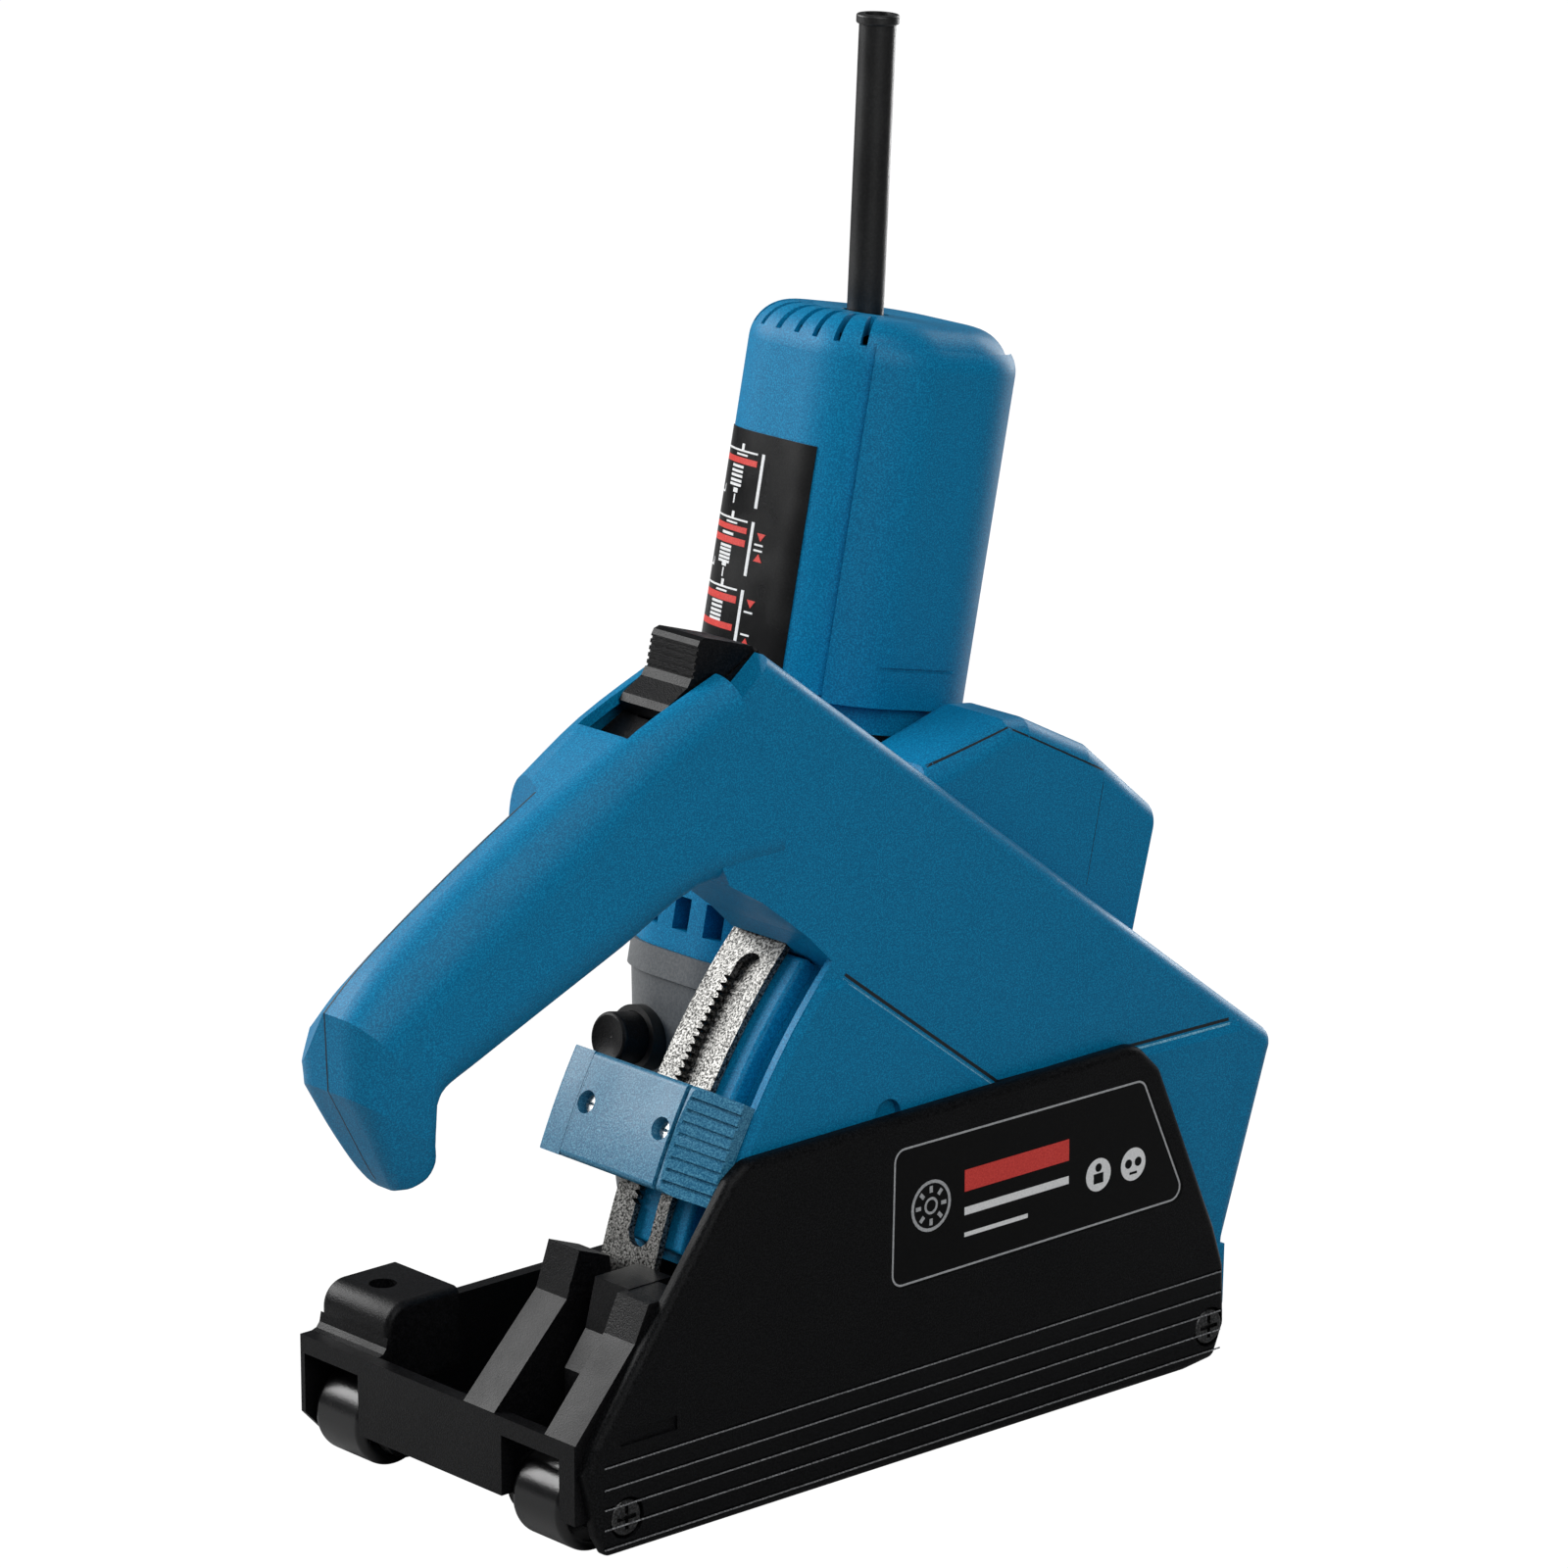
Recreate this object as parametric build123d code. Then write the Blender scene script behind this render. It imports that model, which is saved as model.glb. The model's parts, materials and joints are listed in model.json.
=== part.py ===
from build123d import *
import math
import os

# Wall chaser: a twin-disc machine that swings about the rear roller axle of a black base.
# +X points to the rear, -X to the front rollers and the handle tip, +Y to the left, +Z up.
# Sub-parts are drawn from the middle of the base and then moved by ORIGIN_SHIFT, so that the
# origin is under the middle of the whole machine, on the surface that it stands on.

# ---- driving dimensions, millimetres and degrees ----
ORIGIN_SHIFT = 7.6
HALF_WIDTH = 57.5
COVER_INNER = -53.5
SOLE_BOTTOM, SOLE_TOP = 2.0, 6.0
AXLE_Z, ROLLER_R = 12.5, 12.5
FRONT_AXLE_X, REAR_AXLE_X = -88.0, 121.0
AXLE_R = 4.0
NEAR_ROLLER = (-46.5, -25.5)
FAR_ROLLER = (34.5, 55.0)
WALL_TOP = 34.0

RAIL_R_INNER, RAIL_R_OUTER = 186.0, 188.0
RAIL_SIDE = (-35.0, -14.5)
RAIL_ANGLES = (16.2, 44.4)
RIVET_ANGLE, RIVET_SIDE = 14.2, -25.0
SLOT_ANGLES = (17.8, 42.8)
SLOT_SIDE = (-30.8, -22.6)
TOOTH_PITCH = 0.68
PLUNGE = 12.8
CEILING_ANGLE = 44.25

HOOD_RIGHT, HOOD_PANEL, SEAM, HOOD_LEFT = -52.0, -53.0, -35.0, -15.0
SIDE_WALL, RIM_WALL = 2.2, 3.0
HOOD_FRONT_R, HOOD_INNER_R = 187.0, 179.0

SPINDLE_X, SPINDLE_Z = 22.9, 62.5
MOTOR_Y, MOTOR_TILT = 20.0, 12.0
DISC_R, DISC_T, SLOT_WIDTH = 57.5, 2.5, 23.0
INNER_DISC_Y = -21.5
PINION_TEETH, CROWN_TEETH = 12, 39
CROWN_PITCH_R = 20.0
PINION_PITCH_R = CROWN_PITCH_R * PINION_TEETH / CROWN_TEETH

MOTOR = Plane(
    origin=(SPINDLE_X, MOTOR_Y, SPINDLE_Z),
    x_dir=(math.cos(math.radians(MOTOR_TILT)), 0, -math.sin(math.radians(MOTOR_TILT))),
    z_dir=(math.sin(math.radians(MOTOR_TILT)), 0, math.cos(math.radians(MOTOR_TILT))),
)
parts = {}


# ---- helpers ----
def face_of(points):
    """Face from (x, z) or (x, z, corner radius) points."""
    flat = make_face(Polyline(*[p[:2] for p in points], close=True))
    for p in points:
        if len(p) > 2:
            corner = flat.vertices().sort_by_distance((p[0], p[1], 0))[0]
            flat = fillet(corner, p[2])
    return flat


def slab(face, y0, y1):
    """Solid between y0 and y1 from a face drawn in X and Z."""
    return extrude(Plane.XZ.offset(-y1) * face, y1 - y0)


def block(x0, x1, y0, y1, z0, z1):
    return Pos((x0 + x1) / 2, (y0 + y1) / 2, (z0 + z1) / 2) * Box(x1 - x0, y1 - y0, z1 - z0)


def rod(x, z, radius, y0, y1):
    """Cylinder along Y."""
    return Pos(x, (y0 + y1) / 2, z) * Rot(90, 0, 0) * Cylinder(radius, y1 - y0)


def ring(x, z, r_in, r_out, y0, y1):
    return rod(x, z, r_out, y0, y1) - rod(x, z, r_in, y0 - 1, y1 + 1)


def polar(angle, radius):
    """Point (x, z) at an angle above the horizontal, in front of the rear axle."""
    a = math.radians(angle)
    return (REAR_AXLE_X - radius * math.cos(a), AXLE_Z + radius * math.sin(a))


def sector_face(r0, r1, a0, a1):
    mid = (a0 + a1) / 2
    return make_face(
        ThreePointArc(polar(a0, r1), polar(mid, r1), polar(a1, r1))
        + Line(polar(a1, r1), polar(a1, r0))
        + ThreePointArc(polar(a1, r0), polar(mid, r0), polar(a0, r0))
        + Line(polar(a0, r0), polar(a0, r1))
    )


def sector(r0, r1, a0, a1, y0, y1):
    """Piece of a ring about the rear axle."""
    return slab(sector_face(r0, r1, a0, a1), y0, y1)


def radial(angle, radius):
    """Plane on the arc about the rear axle: local X is +Y, local Z points outward."""
    a = math.radians(angle)
    x, z = polar(angle, radius)
    return Plane(origin=(x, 0, z), x_dir=(0, 1, 0), z_dir=(-math.cos(a), 0, math.sin(a)))


def tube_on(plane, r_in, r_out, s0, s1):
    whole = plane * Pos(0, 0, (s0 + s1) / 2) * Cylinder(r_out, s1 - s0)
    if r_in:
        whole -= plane * Pos(0, 0, (s0 + s1) / 2) * Cylinder(r_in, s1 - s0 + 2)
    return whole


def prism_on(plane, wide, deep, corner, s0, s1):
    """Rounded rectangle extruded from s0 to s1 along the plane's normal."""
    return extrude(plane.offset(s0) * RectangleRounded(wide, deep, corner), s1 - s0)


def soften(solid, edges, radius):
    """Fillet, or the sharp solid where the kernel can't make it."""
    for r in (radius, radius * 0.6):
        try:
            return fillet(edges, r)
        except Exception:
            continue
    return solid


# ---- base ----
COVER_OUTLINE = [
    (-97.2, 8.8, 3), (-100.9, 26.2), (-98.2, 33.4, 2), (-52.6, 93.6), (-46.5, 97.6, 6),
    (93.0, 99.0, 9), (101.5, 90.5, 5), (123.0, 41.0, 6), (126.9, 29.0, 6), (127.4, 12.0, 5),
    (123.5, 3.0, 3), (112.2, 1.8, 3), (-94.0, 3.0, 2),
]


def side_cover():
    cover = slab(face_of(COVER_OUTLINE), -HALF_WIDTH, COVER_INNER)
    outer = cover.faces().sort_by(Axis.Y)[0]
    cover = soften(cover, outer.outer_wire().edges(), 2.4)
    for z in (27.7, 21.8, 16.4, 11.0, 5.7):
        groove = block(-95.5, 125.5, -HALF_WIDTH - 1, -HALF_WIDTH + 0.9, z - 0.45, z + 0.45)
        cover -= groove
    for x in (FRONT_AXLE_X, REAR_AXLE_X):
        cover -= rod(x, AXLE_Z, 5.6, -HALF_WIDTH - 1, -HALF_WIDTH + 2.2)
        cover -= rod(x, AXLE_Z, 2.6, -HALF_WIDTH - 1, COVER_INNER + 1)
    cover -= block(-90, -71, -HALF_WIDTH - 1, -HALF_WIDTH + 0.8, 32.0, 35.8)
    return cover - slab(face_of(PLATE_OUTLINE), -HALF_WIDTH - 1, -HALF_WIDTH + 0.5)


PLATE_OUTLINE = [(2.5, 51.0, 4), (3.5, 90.0, 4), (95.0, 89.6, 4), (112.0, 51.6, 4)]


def nameplate():
    return slab(face_of(PLATE_OUTLINE), -HALF_WIDTH + 0.12, -HALF_WIDTH + 0.5)


def base_frame():
    sole = block(-73, 106, COVER_INNER, HALF_WIDTH - 4, SOLE_BOTTOM, SOLE_TOP)
    sole -= block(-36, 84, -49.5, -13.5, SOLE_BOTTOM - 1, SOLE_TOP + 1)
    left_face = face_of([
        (-102, 12.5), (-102, WALL_TOP), (118, WALL_TOP, 8), (127.4, 24), (127.4, 8, 5),
        (122, SOLE_BOTTOM, 3), (-92, SOLE_BOTTOM, 4),
    ])
    frame = sole + slab(left_face, HALF_WIDTH - 4, HALF_WIDTH)
    frame += block(-102, -98, COVER_INNER, HALF_WIDTH - 3, AXLE_Z, WALL_TOP)
    frame += block(-74, -70.5, COVER_INNER, HALF_WIDTH - 3, SOLE_BOTTOM, 15)
    frame += block(102.5, 106, COVER_INNER, HALF_WIDTH - 3, SOLE_BOTTOM, 11.5)
    frame += strut(-21.5, -9.3, [(-77.0, 58.8), (-72.6, 71.0), (-62.5, 67.2), (-58.0, 34.0)])
    frame += strut(COVER_INNER, -41.5, [(-81.7, 56.4), (-77.0, 66.0), (-64.0, 66.0)])
    frame += boss()
    frame += corner_block()
    for x, way in ((FRONT_AXLE_X, 1), (REAR_AXLE_X, -1)):
        for y0, y1 in ((-24.5, -20.5), (29.5, 33.5)):
            frame += axle_lug(x, way, y0, y1)
        for y0, y1 in (NEAR_ROLLER, FAR_ROLLER):
            frame -= rod(x, AXLE_Z, ROLLER_R + 1.8, y0 - 1, y1 + 0.8)
            if x < 0:
                frame -= block(x - 16, x - 6, y0 - 1, y1 + 0.8, -1, WALL_TOP - 5)
        frame -= rod(x, AXLE_Z, AXLE_R, -60, HALF_WIDTH - 1.2)
    frame -= sector(150, RAIL_R_OUTER, 3.0, 30.0, -42.0, -8.0)
    frame -= sector(150, RAIL_R_OUTER + 0.8, 3.0, 30.0, COVER_INNER + 0.01, -42.0)
    return frame - radial(RIVET_ANGLE, RAIL_R_OUTER + 9.5) * Pos(RIVET_SIDE, 0, 0) * Cylinder(3.8, 20)


def strut(y0, y1, top):
    """Inclined rib from the front wall up to the rail; its rear side follows the rail's arc."""
    face = face_of([(-101.9, 33.7), *top, (-66.5, 34), (-66.5, 5), (-98.5, 12.5)])
    return slab(face, y0, y1)


def boss():
    """Block that carries the rail's lower end, joined to the right strut."""
    outline = [(-84, 44), (-77.0, 53.0), (-73.6, 66.2), (-58.0, 66.2), (-62, 34), (-84, 34)]
    return slab(face_of(outline), -42.0, -28.8)


def corner_block():
    solid = block(-95, -71, 29.5, HALF_WIDTH, 24, 47)
    flare = [(-98.2, 34.0), (-96.6, 34.5), (-95.5, 35.9), (-94.95, 38.6), (-94.0, 30.0), (-98.2, 30.0)]
    edges = [e for e in solid.edges().filter_by(Axis.Y) if e.center().X < -90]
    solid = soften(solid, edges, 7)
    solid = soften(solid, [e for e in solid.edges().filter_by(Axis.X) if e.center().Z > 46], 2)
    solid += slab(face_of(flare), 29.5, HALF_WIDTH)
    return solid - Pos(-84, 45, 42) * Cylinder(3.75, 14)


def axle_lug(x, way, y0, y1):
    """Ear that carries an axle; way is the direction from the axle towards the base's middle."""
    ear = rod(x, AXLE_Z, 8.5, y0, y1)
    reach = x + way * 17.5
    return ear + block(min(x, reach), max(x, reach), y0, y1, AXLE_Z - 8.5, AXLE_Z + 4)


def roller(x, y0, y1):
    wheel = rod(x, AXLE_Z, ROLLER_R, y0 + 0.4, y1 - 0.4)
    wheel = soften(wheel, wheel.edges().filter_by(GeomType.CIRCLE), 2.4)
    bore = AXLE_R + 0.05
    wheel -= rod(x, AXLE_Z, bore, y0 - 1, y1 + 1)
    return wheel - ring(x, AXLE_Z, 6.3, 9.6, y0, y0 + 1.4) - ring(x, AXLE_Z, 6.3, 9.6, y1 - 1.4, y1)


def axle(x):
    shaft = rod(x, AXLE_Z, AXLE_R, COVER_INNER, HALF_WIDTH - 1.2)
    return shaft - rod(x, AXLE_Z, 2.1, COVER_INNER - 1, COVER_INNER + 12)


def axle_screws():
    screws = []
    for x in (FRONT_AXLE_X, REAR_AXLE_X):
        head = rod(x, AXLE_Z, 5.0, -HALF_WIDTH + 0.2, -HALF_WIDTH + 2.2)
        head = soften(head, head.edges().sort_by(Axis.Y)[:1], 0.8)
        shank = rod(x, AXLE_Z, 2.1, -HALF_WIDTH + 2.0, COVER_INNER + 10)
        slot = block(x - 0.6, x + 0.6, -HALF_WIDTH - 1, -HALF_WIDTH + 1.4, AXLE_Z - 3.2, AXLE_Z + 3.2)
        cross = block(x - 3.2, x + 3.2, -HALF_WIDTH - 1, -HALF_WIDTH + 1.4, AXLE_Z - 0.6, AXLE_Z + 0.6)
        screws.append(head + shank - slot - cross)
    return screws


def return_spring():
    """Torsion coil on the rear axle that lifts the machine out of the cut."""
    coil_r, wire_r, pitch, length = 7.0, 0.8, 2.2, 15.4
    start = Vector(coil_r, 0, 0)
    path = Helix(pitch, length, coil_r)
    coil = sweep(Plane(origin=start, z_dir=path % 0) * Circle(wire_r), path=path, is_frenet=True)
    coil = Pos(REAR_AXLE_X, 8.0, AXLE_Z) * Rot(90, 0, 0) * coil
    return coil


# ---- depth rail and stop ----
def depth_rail():
    """Toothed steel arc about the rear axle that sets the cutting depth."""
    rail = sector(RAIL_R_INNER, RAIL_R_OUTER, *RAIL_ANGLES, *RAIL_SIDE)
    rail += sector(RAIL_R_INNER, RAIL_R_OUTER, 12.3, RAIL_ANGLES[0] + 0.1, -30.8, RAIL_SIDE[1])
    middle = sum(SLOT_SIDE) / 2
    half = (SLOT_SIDE[1] - SLOT_SIDE[0]) / 2
    inset = math.degrees(half / RAIL_R_OUTER)
    rail -= sector(184, 190, SLOT_ANGLES[0] + inset, SLOT_ANGLES[1] - inset, *SLOT_SIDE)
    for angle in (SLOT_ANGLES[0] + inset, SLOT_ANGLES[1] - inset):
        rail -= radial(angle, 187) * Pos(middle, 0, 0) * Cylinder(half, 8)
    angle = SLOT_ANGLES[1] - 2.6
    while angle > SLOT_ANGLES[0] + 3.2:
        root, tip = SLOT_SIDE[1] - 0.3, SLOT_SIDE[1] + 2.0
        notch = Polyline((root, -0.85), (tip, -0.35), (root, 0.75), close=True)
        rail -= extrude(radial(angle, 184) * make_face(notch), 6)
        angle -= TOOTH_PITCH
    rail -= radial(RIVET_ANGLE, 187) * Pos(RIVET_SIDE, 0, 0) * Cylinder(2.2, 8)
    return rail


def rail_rivet():
    """Tubular rivet through the rail's lower tab."""
    spot = radial(RIVET_ANGLE, RAIL_R_OUTER) * Pos(RIVET_SIDE, 0, 0)
    flange = spot * Pos(0, 0, 0.7) * Cylinder(3.6, 1.2)
    stem = spot * Pos(0, 0, -1.1) * Cylinder(2.2, 2.4)
    return flange + stem - spot * Cylinder(1.6, 12)


STOP_ANGLES = (22.7, 31.0)
STOP_R = (188.5, 197.5)
STOP_SIDE = (-36.2, 0.0)
RIB_ANGLES = (23.2, 28.4)
PIN_ANGLE, PIN_SIDES = 27.15, (-3.6, -32.6)
PIN_R, PIN_OUTER, PIN_INNER = 2.4, 195.0, 189.5
TONGUES = ((24.4, 25.8), (28.5, 29.9))


def stop_block():
    """Sliding depth stop; a rib runs in the rail's slot and a jaw reaches behind the rail's left edge."""
    body = sector(*STOP_R, *STOP_ANGLES, *STOP_SIDE)
    outer = [e for e in body.edges().filter_by(Axis.Y) if edge_radius(e) > 193]
    body = soften(body, outer, 1.6)
    body += sector(181.5, STOP_R[0] + 0.5, *STOP_ANGLES, -14.2, -3.0)
    body += sector(RAIL_R_INNER, STOP_R[0] + 0.5, *RIB_ANGLES, SLOT_SIDE[0] + 0.1, SLOT_SIDE[1] - 0.1)
    for side in PIN_SIDES:
        hole = (PIN_OUTER + PIN_INNER) / 2
        body -= radial(PIN_ANGLE, hole) * Pos(side, 0, 0) * Cylinder(PIN_R, PIN_OUTER - PIN_INNER)
        body -= radial(PIN_ANGLE, PIN_OUTER + 3) * Pos(side, 0, 0) * Cylinder(3.1, 6)
    for a0, a1 in TONGUES:
        body -= sector(190.6, 195.4, a0 - 0.05, a1 + 0.05, STOP_SIDE[0] - 1, STOP_SIDE[0] + 7.6)
    return body - sector(190.5, 195.5, 24.0, 29.7, -1.0, 1.0)


def edge_radius(edge):
    c = edge.center()
    return math.hypot(c.X - REAR_AXLE_X, c.Z - AXLE_Z)


def stop_button():
    """Ribbed grip, squeezed towards the block to free the teeth; its face falls away to the right."""
    right, left = COVER_INNER + 0.3, STOP_SIDE[0] - 1.6
    body = sector(STOP_R[0], STOP_R[1], *STOP_ANGLES, right, left)
    outer = [e for e in body.edges().filter_by(Axis.Y) if edge_radius(e) > 193]
    body = soften(body, outer, 1.6)
    middle = sum(STOP_ANGLES) / 2
    fall = Polyline((left, 0), (right - 1, -5.6), (right - 1, 8), (left, 8), close=True)
    along = Plane(origin=radial(middle, STOP_R[1]).origin, x_dir=(0, 1, 0), z_dir=-radial(middle, 0).y_dir)
    body -= extrude(along * make_face(fall), 20, both=True)
    step = (STOP_ANGLES[1] - STOP_ANGLES[0] - 0.9) / 8
    groove = Polyline((left - 1.2, -0.9), (right - 1, -6.3), (right - 1, 8), (left - 1.2, 8), close=True)
    for i in range(8):
        turn = radial(STOP_ANGLES[0] + 0.85 + i * step, STOP_R[1])
        along = Plane(origin=turn.origin, x_dir=(0, 1, 0), z_dir=-turn.y_dir)
        body -= extrude(along * make_face(groove), 0.45, both=True)
    for a0, a1 in TONGUES:
        body += sector(190.8, 195.2, a0, a1, left - 1, STOP_SIDE[0] + 5.9)
    return body


def stop_end_cap():
    cap = sector(189.5, 196.5, *STOP_ANGLES, 1.2, 9.6)
    cap = soften(cap, [e for e in cap.edges() if e.center().Y > 9.5], 1.4)
    return cap + sector(190.5, 195.5, 24.0, 29.7, -1.0, 1.3)


def stop_pins():
    """Two slotted steel pins pressed into the block."""
    pins = []
    for side in PIN_SIDES:
        spot = radial(PIN_ANGLE, PIN_OUTER) * Pos(side, 0, 0)
        pin = spot * Pos(0, 0, (PIN_INNER - PIN_OUTER) / 2) * Cylinder(PIN_R, PIN_OUTER - PIN_INNER)
        pins.append(pin - spot * Box(6, 0.8, 1.4))
    return pins


# ---- hood ----
def hood_face(front_r, inset=0.0):
    """Side outline of the hood; inset moves every wall inward by that much."""
    i = inset
    roof = [(-44.0 + i, 218.0 - 1.2 * i), (-32.9 + 0.2 * i, 226.7 - 1.25 * i)]
    roof.append((151.5 - 1.6 * i, 88.2 - 0.1 * i))
    rear = [(132.3 - 1.05 * i, 30.9)]
    mouth = [polar(CEILING_ANGLE + 0.9 * i / 3, front_r), polar(CEILING_ANGLE + 0.9 * i / 3, 199.0 + i)]
    root = [(-36.7 + 0.4 * i, 163.2 + 1.1 * i), (-48.0 + i, 170.0 + i), (-60.0 + i, 196.0)]
    low = polar(17.2, front_r)
    arc = ThreePointArc(low, polar(30, front_r), mouth[0])
    chain = [mouth[0], mouth[1], *root, *roof, *rear, (100.0, 24.0), low]
    return make_face(arc + Polyline(*chain))


def blend_rows(rows, steps):
    """Rows of numbers with smooth in-between rows, by a Catmull-Rom curve."""
    padded = [rows[0], *rows, rows[-1]]
    finer = []
    for p, q, r, s in zip(padded, padded[1:], padded[2:], padded[3:]):
        for k in range(steps):
            t = k / steps
            row = []
            for a, b, c, d in zip(p, q, r, s):
                square, cube = 2 * a - 5 * b + 4 * c - d, 3 * b - a - 3 * c + d
                row.append(0.5 * (2 * b + (c - a) * t + square * t**2 + cube * t**3))
            finer.append(row)
    return [*finer, list(rows[-1])]


# top point, underside point, width and corner radius of each section of the grip and its hooked tip
GRIP_STATIONS = [
    (-46.0, 223.5, -28.0, 172.0, 36, 8), (-72.0, 213.6, -56.0, 169.0, 36, 10),
    (-96.0, 200.9, -78.5, 157.6, 36, 13), (-120.0, 187.6, -103.0, 146.8, 36, 14),
    (-141.0, 175.0, -125.0, 137.5, 36, 14), (-154.5, 166.0, -136.0, 133.0, 35.5, 13),
    (-164.6, 157.4, -138.9, 129.5, 34.5, 11),
]
TIP_STATIONS = [
    (-164.6, 157.4, -138.9, 129.5, 34.5, 11), (-163.8, 137.2, -138.1, 119.5, 28.5, 8),
]
HOOK_STATIONS = [
    (-163.8, 137.2, -138.1, 119.5, 28.5, 8), (-157.6, 125.6, -137.6, 115.3, 23.5, 4.8),
    (-152.2, 115.6, -138.4, 111.0, 17.5, 3.4), (-148.8, 110.4, -141.4, 108.6, 11.5, 2.0),
    (-146.9, 108.5, -143.6, 108.0, 6.5, 0.9),
]


# slope of the grip's left top, and where along the grip it starts and is complete
LEFT_SLOPE = math.tan(math.radians(38))
SLOPE_START, SLOPE_FULL = -84.0, -96.0


def grip_plane(tx, tz, lx, lz):
    """Plane of a grip section: X to the left, Y from the underside to the top."""
    length = math.hypot(tx - lx, tz - lz)
    along = Vector((tx - lx) / length, 0, (tz - lz) / length)
    middle = ((tx + lx) / 2, SEAM, (tz + lz) / 2)
    return Plane(origin=middle, x_dir=(0, 1, 0), z_dir=Vector(0, 1, 0).cross(along)), length


def left_slope(rows, shrink):
    """Wedge that the left half's top is cut back by, beside the seam."""
    sections = []
    for tx, tz, lx, lz, width, _ in rows:
        if tx > SLOPE_START:
            continue
        plane, length = grip_plane(tx, tz, lx, lz)
        faded = tx > SLOPE_FULL or (tz < 150 and tx < -150)
        start = width / 2 - 1.5 if faded else 0.4
        top = length / 2 - shrink / math.cos(math.atan(LEFT_SLOPE))
        far = width / 2 + 8
        corners = [(start, top), (far, top + 12), (far, top - (far - start) * LEFT_SLOPE)]
        sections.append(plane * make_face(Polyline(*corners, close=True)))
    return loft(sections, ruled=True)


def handle_solid(shrink):
    """Grip lofted through rounded sections from the hood's apex to the hooked tip."""
    grip = blend_rows(GRIP_STATIONS, 4)
    rows = grip + blend_rows(TIP_STATIONS, 1)[1:] + blend_rows(HOOK_STATIONS, 3)[1:]
    sections = []
    for tx, tz, lx, lz, width, corner in rows:
        plane, length = grip_plane(tx, tz, lx, lz)
        tall, wide = length - 2 * shrink, width - 2 * shrink
        if shrink and tall < 9:
            break
        radius = min(max(corner - shrink, 1.0), tall / 2 - 0.3, wide / 2 - 0.3)
        sections.append(plane * RectangleRounded(wide, tall, radius))
    return loft(sections, ruled=True) - left_slope([*grip, TIP_STATIONS[-1]], shrink)


def hood_body():
    """Outer form of hood and handle together, before it is hollowed and split."""
    body = slab(hood_face(HOOD_INNER_R + 1.5), HOOD_RIGHT, HOOD_LEFT)
    top = [e for e in body.edges() if on_roof(e.center())]
    body = soften(body, top, 5.0)
    rear = [e for e in body.edges().filter_by(Axis.Y) if e.center().X > 140]
    body = soften(body, rear, 8.0)
    cheek = slab(hood_face(HOOD_FRONT_R), HOOD_RIGHT, HOOD_RIGHT + SIDE_WALL)
    cheek -= slab(face_of([(-70, 225), (-70, 150), (200, 150), (200, 225)]), -60, 0)
    cheek &= block(-80, 40, -60, 0, 40, 150)
    return body + cheek


def on_roof(c):
    """True on the sloping roof's two long edges."""
    height = 226.7 - 0.7507 * (c.X + 32.9)
    return abs(c.Z - height) < 0.6 and 0 < c.X < 120


def lower_panel():
    """Raised lower field of the right face, with a sloped border."""
    field = [(-9.0, 137.5), (45.5, 96.6), (136.0, 95.4), (129.0, 30.9), (100.0, 24.0)]
    low = polar(17.4, HOOD_FRONT_R - 0.4)
    high = polar(42.6, HOOD_FRONT_R - 0.4)
    edge = ThreePointArc(low, polar(30, HOOD_FRONT_R - 0.4), high)
    face = make_face(edge + Polyline(high, *field, low))
    panel = slab(face, HOOD_PANEL, HOOD_RIGHT + 0.3)
    rim = [e for e in panel.faces().sort_by(Axis.Y)[0].edges() if e.center().Z > 90]
    try:
        return chamfer(rim, 0.9, 2.6)
    except Exception:
        return soften(panel, rim, 0.8)


DUCT_AXIS = (math.cos(math.radians(15)), 0, -math.sin(math.radians(15)))
DUCT_Y = -25.0
DUCT_END = (105.6, 140.2)
COLLAR_WIDE, DUCT_R_IN = 40.0, 17.5
DUCT_RIGHT, DUCT_LEFT = DUCT_Y - COLLAR_WIDE / 2, -15.6
DUCT = Plane(origin=(DUCT_END[0], DUCT_Y, DUCT_END[1]), x_dir=(0, 1, 0), z_dir=DUCT_AXIS)
COLLAR_LENGTH = 21.8
# (x, z) of the duct's top line, then of the plane that it shares with the socket
DUCT_TOP = [(22.0, 176.0), (28.8, 184.6), (56.6, 192.3), (64.5, 191.2), (87.2, 179.7), (92.4, 175.2)]
DUCT_JOIN_LOW = (80.05, 128.8)


def round_top(body, radius, right, left):
    """Rounds the long upper edges along both sides."""
    edges = []
    for edge in body.edges():
        c = edge.center()
        side = min(abs(c.Y - right), abs(c.Y - left)) < 0.1
        upright = abs(edge.tangent_at(0.5).Z) > 0.9
        if side and not upright and c.Z > 226.7 - 0.7507 * (c.X + 32.9) + 6 and edge.length > 2:
            edges.append(edge)
    return soften(body, edges, radius)


def duct_form():
    """Extraction duct that rises from the roof and turns to the rear."""
    body = slab(face_of([*DUCT_TOP, DUCT_JOIN_LOW, (60.0, 120.0)]), DUCT_RIGHT, DUCT_LEFT)
    return round_top(body, 6.0, DUCT_RIGHT, DUCT_LEFT)


def duct_cavity():
    wall = SIDE_WALL
    inner = [(24.0, 172.0), (30.5, 182.4), (57.0, 189.9), (63.8, 188.9), (86.0, 177.6), (90.0, 172.8)]
    low = [(78.0, 125.0), (58.0, 116.0)]
    return slab(face_of([*inner, *low]), DUCT_RIGHT + wall, DUCT_LEFT - wall)


def duct_shoulder():
    """Widens the duct on its left to the socket's width."""
    face = face_of([(72.0, 186.5), (87.2, 179.7), (92.4, 175.2), DUCT_JOIN_LOW, (68.0, 132.0)])
    body = slab(face, DUCT_LEFT - 3, DUCT_LEFT + 10.6)
    wedge = make_face(Polyline((66.0, DUCT_LEFT), (90.5, DUCT_LEFT + 10.6), (90.5, 12.0), (60.0, 12.0), close=True))
    body -= Pos(0, 0, 150) * extrude(wedge, 60, both=True)
    return body


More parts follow.
